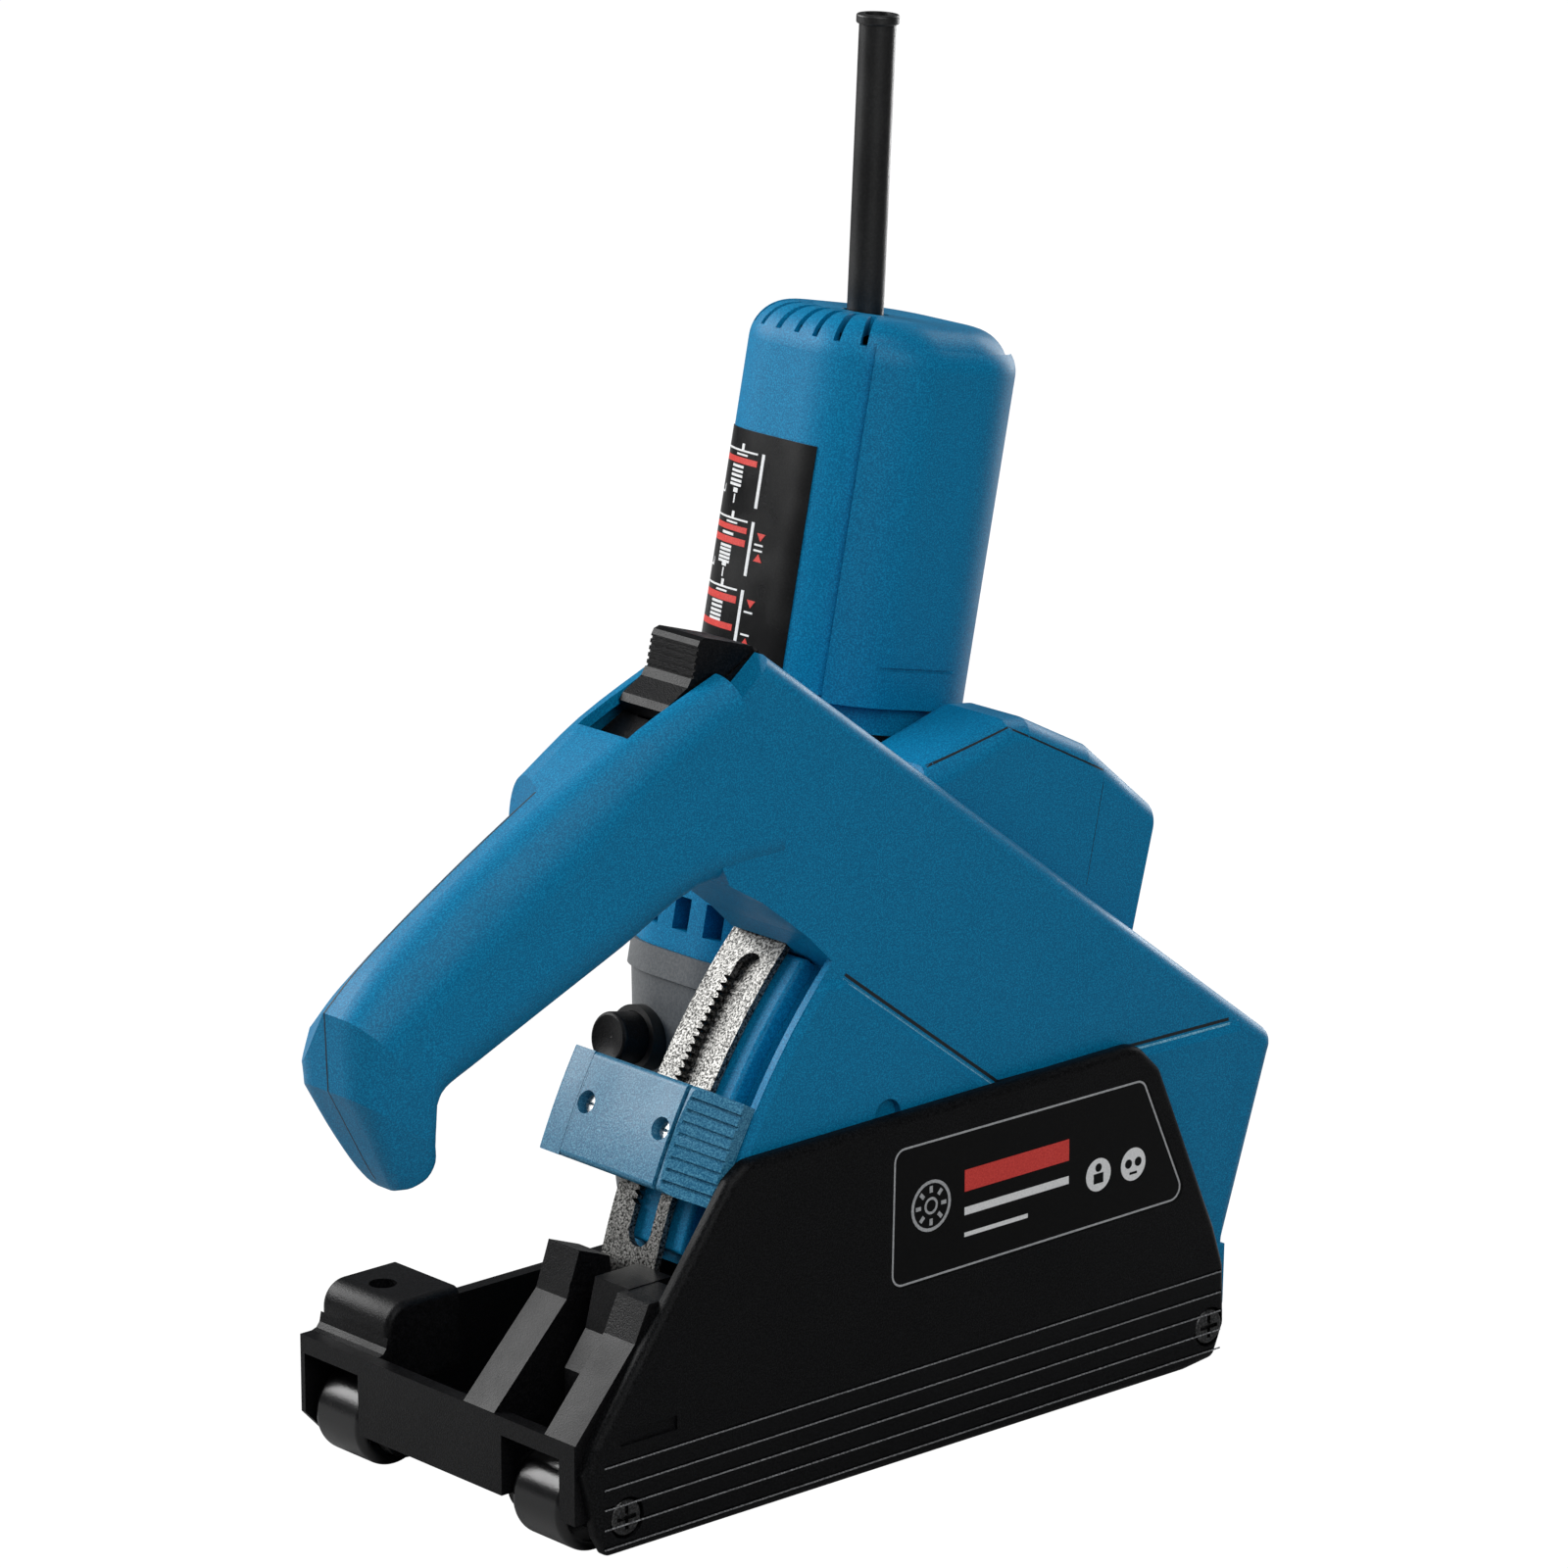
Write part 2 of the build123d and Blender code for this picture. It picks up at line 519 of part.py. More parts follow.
def collar_blank():
    """Socket's outer form: square, with its top sloping down from the duct to the mouth."""
    top = 30.4
    half = COLLAR_WIDE / 2
    outline = [(-COLLAR_LENGTH, -half), (0, -half), (0, half), (-COLLAR_LENGTH, top)]
    side = Plane(origin=(DUCT_END[0], DUCT_RIGHT, DUCT_END[1]), x_dir=DUCT_AXIS, z_dir=(0, -1, 0))
    return extrude(side * make_face(Polyline(*outline, close=True)), -COLLAR_WIDE)


def duct_collar():
    """Square-shouldered socket with a round bore for a 35 mm hose nozzle."""
    collar = collar_blank()
    upper = [e for e in collar.edges() if e.center().Z > 160 and e.length > 10]
    along = [e for e in upper if abs(e.center().Y - DUCT_Y) > 15 and e.center().Z > 160 and e.center().X > 95]
    collar = soften(collar, along, 6.0)
    return collar - DUCT * Pos(0, 0, -COLLAR_LENGTH / 2) * Cylinder(DUCT_R_IN, COLLAR_LENGTH + 4)


SCREW_SPOTS = ((-18.0, 203.0), (-72.0, 186.0), (-128.0, 160.0), (118.0, 82.0), (-12.0, 165.0))


def screw_left_side(x):
    """Left surface of the shell or of the narrower handle."""
    return HOOD_LEFT if x > -60 else SEAM + 18.0


def screw_bosses():
    bosses = []
    for x, z in SCREW_SPOTS:
        bosses.append(rod(x, z, 4.6, HOOD_RIGHT + 1.0, screw_left_side(x) - 1.0))
    return bosses


def screw_holes():
    holes = []
    for x, z in SCREW_SPOTS:
        left = screw_left_side(x)
        holes.append(rod(x, z, 3.6, left - 3.5, left + 1))
        holes.append(rod(x, z, 1.8, HOOD_RIGHT + 4, left))
    return holes


def hood_screws():
    """Pan-head screws put in from the left; all alike apart from the handle's shallower stack."""
    screws = []
    for x, z in SCREW_SPOTS:
        left = screw_left_side(x)
        screw = rod(x, z, 3.4, left - 3.5, left - 1.0) + rod(x, z, 1.7, left - 24, left - 3.4)
        for turn in (0, 90):
            screw -= Pos(x, left - 1.4, z) * Rot(0, turn, 0) * Box(4.0, 1.2, 0.9)
        screws.append(screw)
    return screws


def hood_shells():
    """Right and left half shells, parted at the seam."""
    outer = hood_body() + handle_solid(0)
    inner_sides = (HOOD_RIGHT + SIDE_WALL, HOOD_LEFT - SIDE_WALL)
    inside = slab(hood_face(HOOD_INNER_R - 1.5, RIM_WALL), *inner_sides)
    inside += handle_solid(RIM_WALL)
    mouth = [polar(15, 175), polar(19.5, 175), (97, 34), (126, 34), (126, 20), (95, 10)]
    duct = duct_form() + duct_shoulder()
    hollow_duct = duct_cavity()
    hollow_duct += DUCT * Pos(0, 0, -COLLAR_LENGTH - 9) * Cylinder(DUCT_R_IN + 0.4, 18.02)
    shell = outer + duct - collar_blank() - inside - slab(face_of(mouth), *inner_sides) - hollow_duct
    shell -= DUCT * Pos(0, 0, 10) * Cylinder(DUCT_R_IN + 0.8, 20.02)
    shell += screw_bosses()
    shell += hinge_lug(HOOD_RIGHT, -48.4) + hinge_lug(-20.0, HOOD_LEFT)
    shell -= screw_holes()
    shell -= rod(REAR_AXLE_X, AXLE_Z, AXLE_R + 0.05, -60, 60)
    rail_path = (RAIL_SIDE[0] - 0.8, RAIL_SIDE[1] + 0.8)
    shell -= sector(184.9, 189.2, 40.0, CEILING_ANGLE + PLUNGE + 1.6, *rail_path)
    shell -= rod(SPINDLE_X, SPINDLE_Z, 30.2, HOOD_LEFT - 5, HOOD_LEFT + 5)
    shell -= switch_pocket()
    right = shell & block(-300, 300, -100, SEAM, 0, 400)
    left = shell & block(-300, 300, SEAM, 100, 0, 400)
    right = right + lower_panel() - rod(5.5, 97.5, 4.6, HOOD_PANEL - 1, HOOD_RIGHT + 1.2)
    return right, left


def hinge_lug(y0, y1):
    face = face_of([(132.0, 32.5), (131.6, 16.0), (131.0, 12.5), (110.5, 12.5), (100.5, 24.5), (99, 36)])
    lug = slab(face, y0, y1) + rod(REAR_AXLE_X, AXLE_Z, 10.6, y0, y1)
    return lug


SWITCH_ANGLE = 26.5
SWITCH = Plane(
    origin=(-52.0, SEAM, 217.0), x_dir=(0, 1, 0),
    z_dir=(-math.sin(math.radians(SWITCH_ANGLE)), 0, math.cos(math.radians(SWITCH_ANGLE))),
)


def switch_pocket():
    """Recess in the handle's top; local Y of the switch plane points to the handle's tip."""
    return SWITCH * Box(19, 46, 13)


def switch_track():
    """Black slide bed in the pocket."""
    bed = SWITCH * Pos(0, 0, -2.2) * Box(18.6, 45.6, 4.2)
    return bed - SWITCH * Pos(0, -2, -2) * Box(7, 24, 8)


# side outline of the slide switch: along the handle towards the tip, height above the plane
KNOB_OUTLINE = [
    (9.5, 0.0), (9.5, 3.6), (7.5, 4.6), (0.6, 4.9), (-2.2, 6.6), (-7.0, 12.4), (-8.3, 13.2),
    (-10.2, 12.8), (-22.0, 1.6), (-22.0, 0.0),
]


def switch_knob():
    """Slide switch: a ribbed thumb face, a grained top and a wedge that falls to the hood's apex."""
    knob = SWITCH * extrude(Plane.YZ * make_face(Polyline(*KNOB_OUTLINE, close=True)), 8.8, both=True)
    for i in range(5):
        y, z = -1.9 - 1.12 * i, 6.4 + 1.36 * i
        knob -= SWITCH * Pos(0, y, z) * Rot(40, 0, 0) * Box(19, 1.2, 0.7)
    return knob + SWITCH * Pos(0, -5, -2.0) * Box(5, 6, 4.4)


def switch_module():
    """Sealed switch under the slide bed."""
    return SWITCH * Pos(0, 6, -11.4) * Box(16, 22, 14.2)


GRIP = Plane(origin=(-100.0, SEAM, 173.0), x_dir=(0, 1, 0), z_dir=SWITCH.z_dir)


def electronics_module():
    """Potted soft-start unit clamped between the handle's half shells."""
    return GRIP * Box(30, 30, 16)


# ---- rail guide and depth scale on the hood's front ----
def rail_guide():
    guide = sector(HOOD_INNER_R + 1.6, 185.3, 18.2, 44.0, -41.0, -18.0)
    guide = soften(guide, [e for e in guide.edges() if abs(edge_radius(e) - 185.3) < 0.3], 1.2)
    return guide - sector(184.4, 186, 30.0, 45, -33.6, -20.4)


def depth_scale():
    """Thin steel strip behind the rail's slot, with engraved depth marks."""
    strip = sector(184.4, 185.4, 30.1, 43.8, -33.4, -20.6)
    for angle in (36.2, 36.6, 39.2, 39.6):
        strip -= sector(185.1, 186, angle, angle + 0.12, -31, -22)
    return strip


# ---- motor and gear head ----
def gear_housing():
    top = prism_on(MOTOR, 80, 66, 26, 50, 57.5)
    narrow = MOTOR.offset(8) * RectangleRounded(62, 56, 22)
    upper = loft([narrow, MOTOR.offset(50) * RectangleRounded(78, 65, 26)])
    lower = rod(SPINDLE_X, SPINDLE_Z, 31.0, -7.5, 44.0)
    lower = soften(lower, lower.edges().sort_by(Axis.Y)[-1:], 7)
    body = top + upper + lower + rod(SPINDLE_X, SPINDLE_Z, 14.0, 40, 51)
    body -= rod(SPINDLE_X, SPINDLE_Z, 26.0, -8.5, 32.0)
    body -= rod(SPINDLE_X, SPINDLE_Z, 30.0, -20.0, -7.5)
    body -= tube_on(MOTOR, 0, 15.0, 20, 60)
    body -= tube_on(MOTOR, 0, 24.0, 40, 45.6)
    body -= rod(SPINDLE_X, SPINDLE_Z, 10.0, 31, 46)
    body -= LOCK * Pos(0, 0, 30) * Cylinder(4.1, 30)
    body -= LOCK * Pos(0, 0, 41) * Cylinder(7.3, 16)
    return body - LOCK * Pos(0, 0, 42) * Cylinder(BOOT_R, 16)


LOCK_HEIGHT, LOCK_SIDE = 32.0, 10.5
BOOT_R = 8.9
LOCK = Plane(
    origin=(SPINDLE_X + LOCK_HEIGHT * math.sin(math.radians(MOTOR_TILT)), MOTOR_Y + LOCK_SIDE,
            SPINDLE_Z + LOCK_HEIGHT * math.cos(math.radians(MOTOR_TILT))),
    x_dir=(0, 1, 0),
    z_dir=(-math.cos(math.radians(MOTOR_TILT)), 0, math.sin(math.radians(MOTOR_TILT))),
)


def lock_button():
    """Spindle lock: a dished cap on a plunger that faces the front."""
    cap = LOCK * Pos(0, 0, 43) * Cylinder(7.0, 12)
    cap = soften(cap, cap.edges().sort_by(Axis.X)[:1], 1.2)
    cap -= LOCK * Pos(0, 0, 61.6) * Sphere(14)
    return cap + LOCK * Pos(0, 0, 29) * Cylinder(4.0, 17)


def lock_boot():
    """Rubber ring that seals the lock button in the gear head."""
    return tube_on(LOCK, 7.15, BOOT_R, 34, 40.5)


def bearing_flange():
    plate = rod(SPINDLE_X, SPINDLE_Z, 30.0, HOOD_LEFT - SIDE_WALL, -7.5)
    plate -= rod(SPINDLE_X, SPINDLE_Z, 16.0, -14.0, -6)
    plate -= rod(SPINDLE_X, SPINDLE_Z, 13.0, -20, -6)
    for angle in (45, 135, 225, 315):
        x = SPINDLE_X + 23 * math.cos(math.radians(angle))
        z = SPINDLE_Z + 23 * math.sin(math.radians(angle))
        plate -= rod(x, z, 2.1, -20, -6)
        plate -= rod(x, z, 3.9, -20, -14.8)
    return plate


def flange_screws():
    screws = []
    for angle in (45, 135, 225, 315):
        x = SPINDLE_X + 23 * math.cos(math.radians(angle))
        z = SPINDLE_Z + 23 * math.sin(math.radians(angle))
        screws.append(rod(x, z, 3.7, -17.0, -14.8) + rod(x, z, 2.0, -14.9, -7.6))
    return screws


def motor_housing():
    """Blue motor tube: flange with air outlets, plain waist and the wide upper body with a crowned top."""
    collar = prism_on(MOTOR, 78, 64, 25, 57.6, 76)
    flare = MOTOR.offset(76) * RectangleRounded(76, 62, 26)
    waist = loft([flare, MOTOR.offset(94) * RectangleRounded(62, 62, 30)])
    tube = prism_on(MOTOR, 62, 62, 30, 94, 140)
    upper = prism_on(MOTOR, 63, 63, 24, 132, 231)
    crown = [e for e in upper.edges() if along_motor(e) > 230]
    upper = soften(upper, crown, 11)
    body = collar + waist + tube + upper
    body -= tube_on(MOTOR, 0, 28.6, 56, 226)
    for side in (-24, -12, 0, 12, 24):
        body -= MOTOR * Pos(0, side, 68) * Box(100, 6, 9)
    body -= vents()
    return body - SLEEVE * Pos(0, 0, -8) * Cylinder(6.2, 30)


def along_motor(edge):
    c = edge.center()
    a = math.radians(MOTOR_TILT)
    return (c.X - SPINDLE_X) * math.sin(a) + (c.Z - SPINDLE_Z) * math.cos(a)


def vents():
    """Air inlet slots that curve over the crown's front left."""
    cuts = []
    for i in range(8):
        angle = 128 + i * 13
        fin = Rot(0, 0, angle) * Pos(27, 0, 0) * Box(16, 1.9, 14)
        cuts.append(MOTOR * Pos(0, 0, 231) * fin)
    return cuts


def side_panels():
    """Raised covers on the upper body's right and left, with a bevelled head and a skirt."""
    outer = prism_on(MOTOR, 67, 67, 25.5, 125, 229)
    outer = soften(outer, [e for e in outer.edges() if along_motor(e) > 228], 9)
    outer -= prism_on(MOTOR, 63.1, 63.1, 24, 120, 240)
    outer &= prism_on(MOTOR, 80, 80, 5, 130.5, 229)
    pair = []
    for way, front in ((-1, -60), (1, -24)):
        wedge = Polyline((0, 0), (front, way * 60), (60, way * 60), close=True)
        side = outer & extrude(MOTOR.offset(118) * make_face(wedge), 120)
        groove = MOTOR * Pos(0, way * 33.6, 141.0) * Box(50, 1.4, 1.0)
        pair.append(side - groove)
    return pair


SLEEVE = Plane(origin=(64.0, MOTOR_Y, 290.0), x_dir=(0, 1, 0),
               z_dir=(math.sin(math.radians(3.1)), 0, math.cos(math.radians(3.1))))


def cable_sleeve():
    """Rubber bend protector; a cable enters through its bore."""
    tube = SLEEVE * Pos(0, 0, 38.0) * Cylinder(4.9, 80)
    root = SLEEVE * Pos(0, 0, -8) * Cylinder(6.15, 12)
    lip = SLEEVE * Pos(0, 0, 77.6) * Cylinder(5.7, 2.6)
    lip = soften(lip, lip.edges(), 0.6)
    return tube + root + lip - SLEEVE * Pos(0, 0, 40) * Cylinder(3.6, 120)


def cable_clamp():
    """Strap on the upper bearing plate that grips the cable below the sleeve."""
    strap = MOTOR * Pos(-10, 0, 213.5) * Box(22, 14, 5)
    strap += MOTOR * Pos(-17.5, 0, 207) * Box(7, 14, 8)
    return strap - MOTOR * Pos(-5.3, 0, 213) * Cylinder(3.7, 12)


# ---- labels ----
def wrap_label(a0, a1, s0, s1, half, corner):
    """Thin label bent round a rounded body between two directions about the motor axis."""
    skin = prism_on(MOTOR, 2 * half + 0.5, 2 * half + 0.5, corner + 0.25, s0, s1)
    skin -= prism_on(MOTOR, 2 * half, 2 * half, corner, s0 - 1, s1 + 1)
    turns = [math.radians(a) for a in (a0, (a0 + a1) / 2, a1)]
    far = [(60 * math.cos(a), 60 * math.sin(a)) for a in turns]
    wedge = extrude(MOTOR.offset(s0 - 1) * make_face(Polyline((0, 0), *far, close=True)), s1 - s0 + 2)
    return skin & wedge


# ---- spindle and discs ----
def spindle():
    shaft = rod(SPINDLE_X, SPINDLE_Z, 6.9, -48.0, -18.0) + rod(SPINDLE_X, SPINDLE_Z, 8.0, -18.0, 34.0)
    return shaft + rod(SPINDLE_X, SPINDLE_Z, 5.0, 34.0, 45.0)


def disc(y1):
    """Segmented diamond disc: steel core, gullets between the segments at its rim."""
    y0 = y1 - DISC_T
    middle = (y0 + y1) / 2
    core = rod(SPINDLE_X, SPINDLE_Z, DISC_R - 7, y0 + 0.35, y1 - 0.35)
    core += rod(SPINDLE_X, SPINDLE_Z, 18.0, y0, y1)
    rim = ring(SPINDLE_X, SPINDLE_Z, DISC_R - 7.5, DISC_R, y0, y1)
    plate = core + rim
    for i in range(12):
        a = math.radians(30 * i)
        spot = Pos(SPINDLE_X + 53 * math.cos(a), middle, SPINDLE_Z + 53 * math.sin(a))
        plate -= spot * Rot(0, -30 * i, 0) * Box(13, 6, 1.6)
    return plate - rod(SPINDLE_X, SPINDLE_Z, 11.12, y0 - 1, y1 + 1)


def locating_flange():
    hub = rod(SPINDLE_X, SPINDLE_Z, 18.0, INNER_DISC_Y, -18.0)
    hub += rod(SPINDLE_X, SPINDLE_Z, 11.1, INNER_DISC_Y - SLOT_WIDTH + 0.6, INNER_DISC_Y)
    return hub - rod(SPINDLE_X, SPINDLE_Z, 6.9, -60, 0)


def spacer_rings():
    rings = []
    width = (SLOT_WIDTH - 2 * DISC_T) / 3
    for i in range(3):
        y1 = INNER_DISC_Y - DISC_T - i * width
        rings.append(ring(SPINDLE_X, SPINDLE_Z, 11.12, 17.0, y1 - width, y1))
    return rings


def clamp_nut():
    y1 = INNER_DISC_Y - SLOT_WIDTH
    nut = rod(SPINDLE_X, SPINDLE_Z, 16.5, y1 - 4.0, y1)
    nut -= rod(SPINDLE_X, SPINDLE_Z, 6.9, y1 - 6, y1 + 2)
    for i in range(4):
        a = math.radians(90 * i + 45)
        nut -= rod(SPINDLE_X + 12 * math.cos(a), SPINDLE_Z + 12 * math.sin(a), 2.0, y1 - 5, y1 - 1.5)
    return nut


def crown_gear():
    """Face gear on the spindle; its teeth point at the motor's axis."""
    face_y = MOTOR_Y - PINION_PITCH_R - 0.9
    body = rod(SPINDLE_X, SPINDLE_Z, 23.0, face_y - 8, face_y)
    body -= ring(SPINDLE_X, SPINDLE_Z, 11.0, 16.0, face_y - 1, face_y + 1)
    step = 360 / CROWN_TEETH
    for i in range(CROWN_TEETH):
        centre = Pos(SPINDLE_X, face_y + 0.75, SPINDLE_Z) * Rot(0, step * i + GEAR_PHASE, 0)
        body += centre * Pos(0, 0, CROWN_PITCH_R) * Rot(0, 90, 0) * Box(3.6, 1.9, 1.0)
    return body - rod(SPINDLE_X, SPINDLE_Z, 8.0, -40, 60)


GEAR_PHASE = MOTOR_TILT


def pinion():
    """Small gear on the armature shaft, with a tooth gap at the crown gear's tooth."""
    root = PINION_PITCH_R - 1.0
    gear = tube_on(MOTOR, 0, root, CROWN_PITCH_R - 3.5, CROWN_PITCH_R + 4)
    step = 360 / PINION_TEETH
    for i in range(PINION_TEETH):
        turn = Rot(0, 0, -90 + step * (i + 0.5))
        gear += MOTOR * turn * Pos(root + 0.7, 0, CROWN_PITCH_R + 0.25) * Box(1.7, 0.9, 7.5)
    return gear - tube_on(MOTOR, 0, 3.0, 10, 40)


# ---- motor internals ----
def armature_shaft():
    shaft = tube_on(MOTOR, 0, 3.0, CROWN_PITCH_R - 3.4, 30) + tube_on(MOTOR, 0, 5.0, 30, 62)
    return shaft + tube_on(MOTOR, 0, 4.0, 62, 206)


def armature_core():
    core = tube_on(MOTOR, 4.0, 16.4, 100, 146)
    for i in range(12):
        core -= MOTOR * Rot(0, 0, 30 * i) * Pos(16, 0, 123) * Box(3.0, 1.6, 48)
    return core


def fan():
    wheel = tube_on(MOTOR, 4.0, 9.0, 62, 78) + tube_on(MOTOR, 4.0, 26.0, 76, 78)
    for i in range(11):
        wheel += MOTOR * Rot(0, 0, 360 / 11 * i) * Pos(17, 0, 70) * Rot(0, 0, 25) * Box(15, 1.2, 12)
    return wheel & tube_on(MOTOR, 4.0, 26.0, 60, 80)


def field_stator():
    stator = tube_on(MOTOR, 17.2, 28.5, 100, 146)
    for way in (-1, 1):
        stator -= MOTOR * Pos(0, way * 20, 123) * Box(22, 6, 50)
    return stator


def field_coils():
    coils = []
    for way in (-1, 1):
        for s0, s1 in ((90, 100), (146, 156)):
            arc = tube_on(MOTOR, 18.5, 27.0, s0, s1)
            coils.append(arc & MOTOR * Pos(0, way * 22, (s0 + s1) / 2) * Box(40, 26, 30))
    return coils


def bearing(plane, r_in, r_out, s0, s1):
    body = tube_on(plane, r_in, r_out, s0, s1)
    groove = (r_out + r_in) / 2
    for a, b in ((s0 - 1, s0 + 0.6), (s1 - 0.6, s1 + 1)):
        body -= tube_on(plane, groove - 1.6, groove + 1.6, a, b)
    return body


def rear_bearing_plate():
    """Spider that holds the upper bearing and the brush gear."""
    plate = tube_on(MOTOR, 11.0, 28.5, 196, 203)
    for i in range(4):
        plate -= MOTOR * Rot(0, 0, 45 + 90 * i) * Pos(20.5, 0, 200) * Cylinder(5.2, 12)
    return plate


def brush_holders():
    boxes = []
    for way in (-1, 1):
        case = MOTOR * Pos(0, way * 19.6, 169) * Box(9, 15.4, 12)
        boxes.append(case - MOTOR * Pos(0, way * 19, 169) * Box(6.1, 18, 9.1))
    return boxes


def carbon_brushes():
    return [MOTOR * Pos(0, way * 17.2, 169) * Box(6.0, 12.8, 9.0) for way in (-1, 1)]


# ---- the list of sub-parts ----
def build():
    parts["base_frame"] = base_frame()
    parts["side_cover"] = side_cover()
    parts["nameplate"] = nameplate()
    parts["front_axle"] = axle(FRONT_AXLE_X)
    parts["rear_axle"] = axle(REAR_AXLE_X)
    parts["axle_screws"] = axle_screws()
    parts["return_spring"] = return_spring()
    for name, x in (("front", FRONT_AXLE_X), ("rear", REAR_AXLE_X)):
        parts[f"{name}_roller_right"] = roller(x, *NEAR_ROLLER)
        parts[f"{name}_roller_left"] = roller(x, *FAR_ROLLER)
    parts["depth_rail"] = depth_rail()
    parts["rail_rivet"] = rail_rivet()
    parts["stop_block"] = stop_block()
    parts["stop_button"] = stop_button()
    parts["stop_end_cap"] = stop_end_cap()
    parts["stop_pins"] = stop_pins()
    parts["hood_shell_right"], parts["hood_shell_left"] = hood_shells()
    parts["hood_screws"] = hood_screws()
    parts["dust_collar"] = duct_collar()
    parts["rail_guide"] = rail_guide()
    parts["depth_scale"] = depth_scale()
    parts["switch_track"] = switch_track()
    parts["switch_knob"] = switch_knob()
    parts["switch_module"] = switch_module()
    parts["electronics_module"] = electronics_module()
    parts["gear_housing"] = gear_housing()
    parts["bearing_flange"] = bearing_flange()
    parts["flange_screws"] = flange_screws()
    parts["lock_button"] = lock_button()
    parts["lock_boot"] = lock_boot()
    parts["motor_housing"] = motor_housing()
    parts["motor_panel_right"], parts["motor_panel_left"] = side_panels()
    parts["cable_sleeve"] = cable_sleeve()
    parts["cable_clamp"] = cable_clamp()
    parts["width_label"] = wrap_label(137, 205.5, 133, 196, 31.5, 24)
    parts["rating_label"] = wrap_label(249, 293, 106, 123, 31.0, 30)
    parts["spindle"] = spindle()
    parts["locating_flange"] = locating_flange()
    parts["disc_inner"] = disc(INNER_DISC_Y)
    parts["disc_outer"] = disc(INNER_DISC_Y - SLOT_WIDTH + DISC_T)
    parts["spacer_rings"] = spacer_rings()
    parts["clamp_nut"] = clamp_nut()
    parts["crown_gear"] = crown_gear()
    parts["pinion"] = pinion()
    parts["armature_shaft"] = armature_shaft()
    parts["armature_core"] = armature_core()
    parts["commutator"] = tube_on(MOTOR, 4.0, 10.5, 162, 176)
    parts["armature_windings"] = [tube_on(MOTOR, 4.0, 13.5, 90, 100), tube_on(MOTOR, 4.0, 13.5, 146, 156)]
    parts["fan"] = fan()
    parts["field_stator"] = field_stator()
    parts["field_coils"] = field_coils()
    spindle_line = Plane(origin=(SPINDLE_X, 0, SPINDLE_Z), x_dir=(1, 0, 0), z_dir=(0, 1, 0))
    parts["spindle_bearing"] = bearing(spindle_line, 8.05, 16.0, -14.0, -4.0)
    parts["armature_bearings"] = [bearing(MOTOR, 5.05, 15.0, 47, 56), bearing(MOTOR, 4.05, 11.0, 196, 203)]
    parts["rear_bearing_plate"] = rear_bearing_plate()
    parts["brush_holders"] = brush_holders()
    parts["carbon_brushes"] = carbon_brushes()


def write(name, shape):
    solids = shape if isinstance(shape, list) else [shape]
    moved = [Pos(ORIGIN_SHIFT, 0, 0) * s for s in solids]
    whole = moved[0] if len(moved) == 1 else Compound(children=moved)
    export_step(whole, f"parts/{name}.step")


if __name__ == "__main__":
    os.makedirs("parts", exist_ok=True)
    build()
    for part_name, part_shape in parts.items():
        write(part_name, part_shape)
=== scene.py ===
import json
import math

import bpy
from mathutils import Matrix, Vector


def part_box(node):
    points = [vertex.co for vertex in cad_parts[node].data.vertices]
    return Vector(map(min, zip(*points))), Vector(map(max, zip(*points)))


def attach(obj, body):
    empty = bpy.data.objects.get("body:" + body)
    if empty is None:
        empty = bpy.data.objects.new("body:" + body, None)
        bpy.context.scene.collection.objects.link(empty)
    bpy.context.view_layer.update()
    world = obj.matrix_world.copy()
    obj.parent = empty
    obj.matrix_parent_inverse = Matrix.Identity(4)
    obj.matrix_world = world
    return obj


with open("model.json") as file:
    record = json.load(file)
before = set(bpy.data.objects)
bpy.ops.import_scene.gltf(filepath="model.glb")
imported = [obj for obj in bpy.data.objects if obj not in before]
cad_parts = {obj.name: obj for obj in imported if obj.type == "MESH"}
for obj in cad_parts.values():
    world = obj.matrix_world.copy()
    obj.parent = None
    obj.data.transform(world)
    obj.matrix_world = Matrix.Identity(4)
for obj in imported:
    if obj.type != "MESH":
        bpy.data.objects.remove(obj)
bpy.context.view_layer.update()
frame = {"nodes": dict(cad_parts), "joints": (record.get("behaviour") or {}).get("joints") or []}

MM = 0.001
NODES = frame["nodes"]
JOINTS = {j["name"]: j for j in frame["joints"]}
PIVOT = Vector(JOINTS["plunge"]["pos_m"])
SPINDLE = Vector(JOINTS["spindle_spin"]["pos_m"])
MOTOR_AXIS = Vector(JOINTS["armature_spin"]["axis"]).normalized()
MOTOR_ORIGIN = Vector(JOINTS["armature_spin"]["pos_m"])
MOTOR_X = Vector((MOTOR_AXIS.z, 0, -MOTOR_AXIS.x))
SHIFT = PIVOT.x - 121 * MM
SCENE = bpy.context.scene


# ---- materials ----
def new_material(name):
    mat = bpy.data.materials.new(name)
    mat.use_nodes = True
    tree = mat.node_tree
    tree.nodes.clear()
    out = tree.nodes.new("ShaderNodeOutputMaterial")
    shader = tree.nodes.new("ShaderNodeBsdfPrincipled")
    tree.links.new(shader.outputs["BSDF"], out.inputs["Surface"])
    return mat, tree, shader


def noise(tree, vector, size_mm, detail=2.0, rough=0.55):
    tex = tree.nodes.new("ShaderNodeTexNoise")
    tex.inputs["Scale"].default_value = 1.0 / (size_mm * MM)
    tex.inputs["Detail"].default_value = detail
    tex.inputs["Roughness"].default_value = rough
    tree.links.new(vector, tex.inputs["Vector"])
    return tex.outputs["Fac"]


def spread(tree, value, low, high, to_low, to_high):
    node = tree.nodes.new("ShaderNodeMapRange")
    node.inputs["From Min"].default_value = low
    node.inputs["From Max"].default_value = high
    node.inputs["To Min"].default_value = to_low
    node.inputs["To Max"].default_value = to_high
    tree.links.new(value, node.inputs["Value"])
    return node.outputs["Result"]


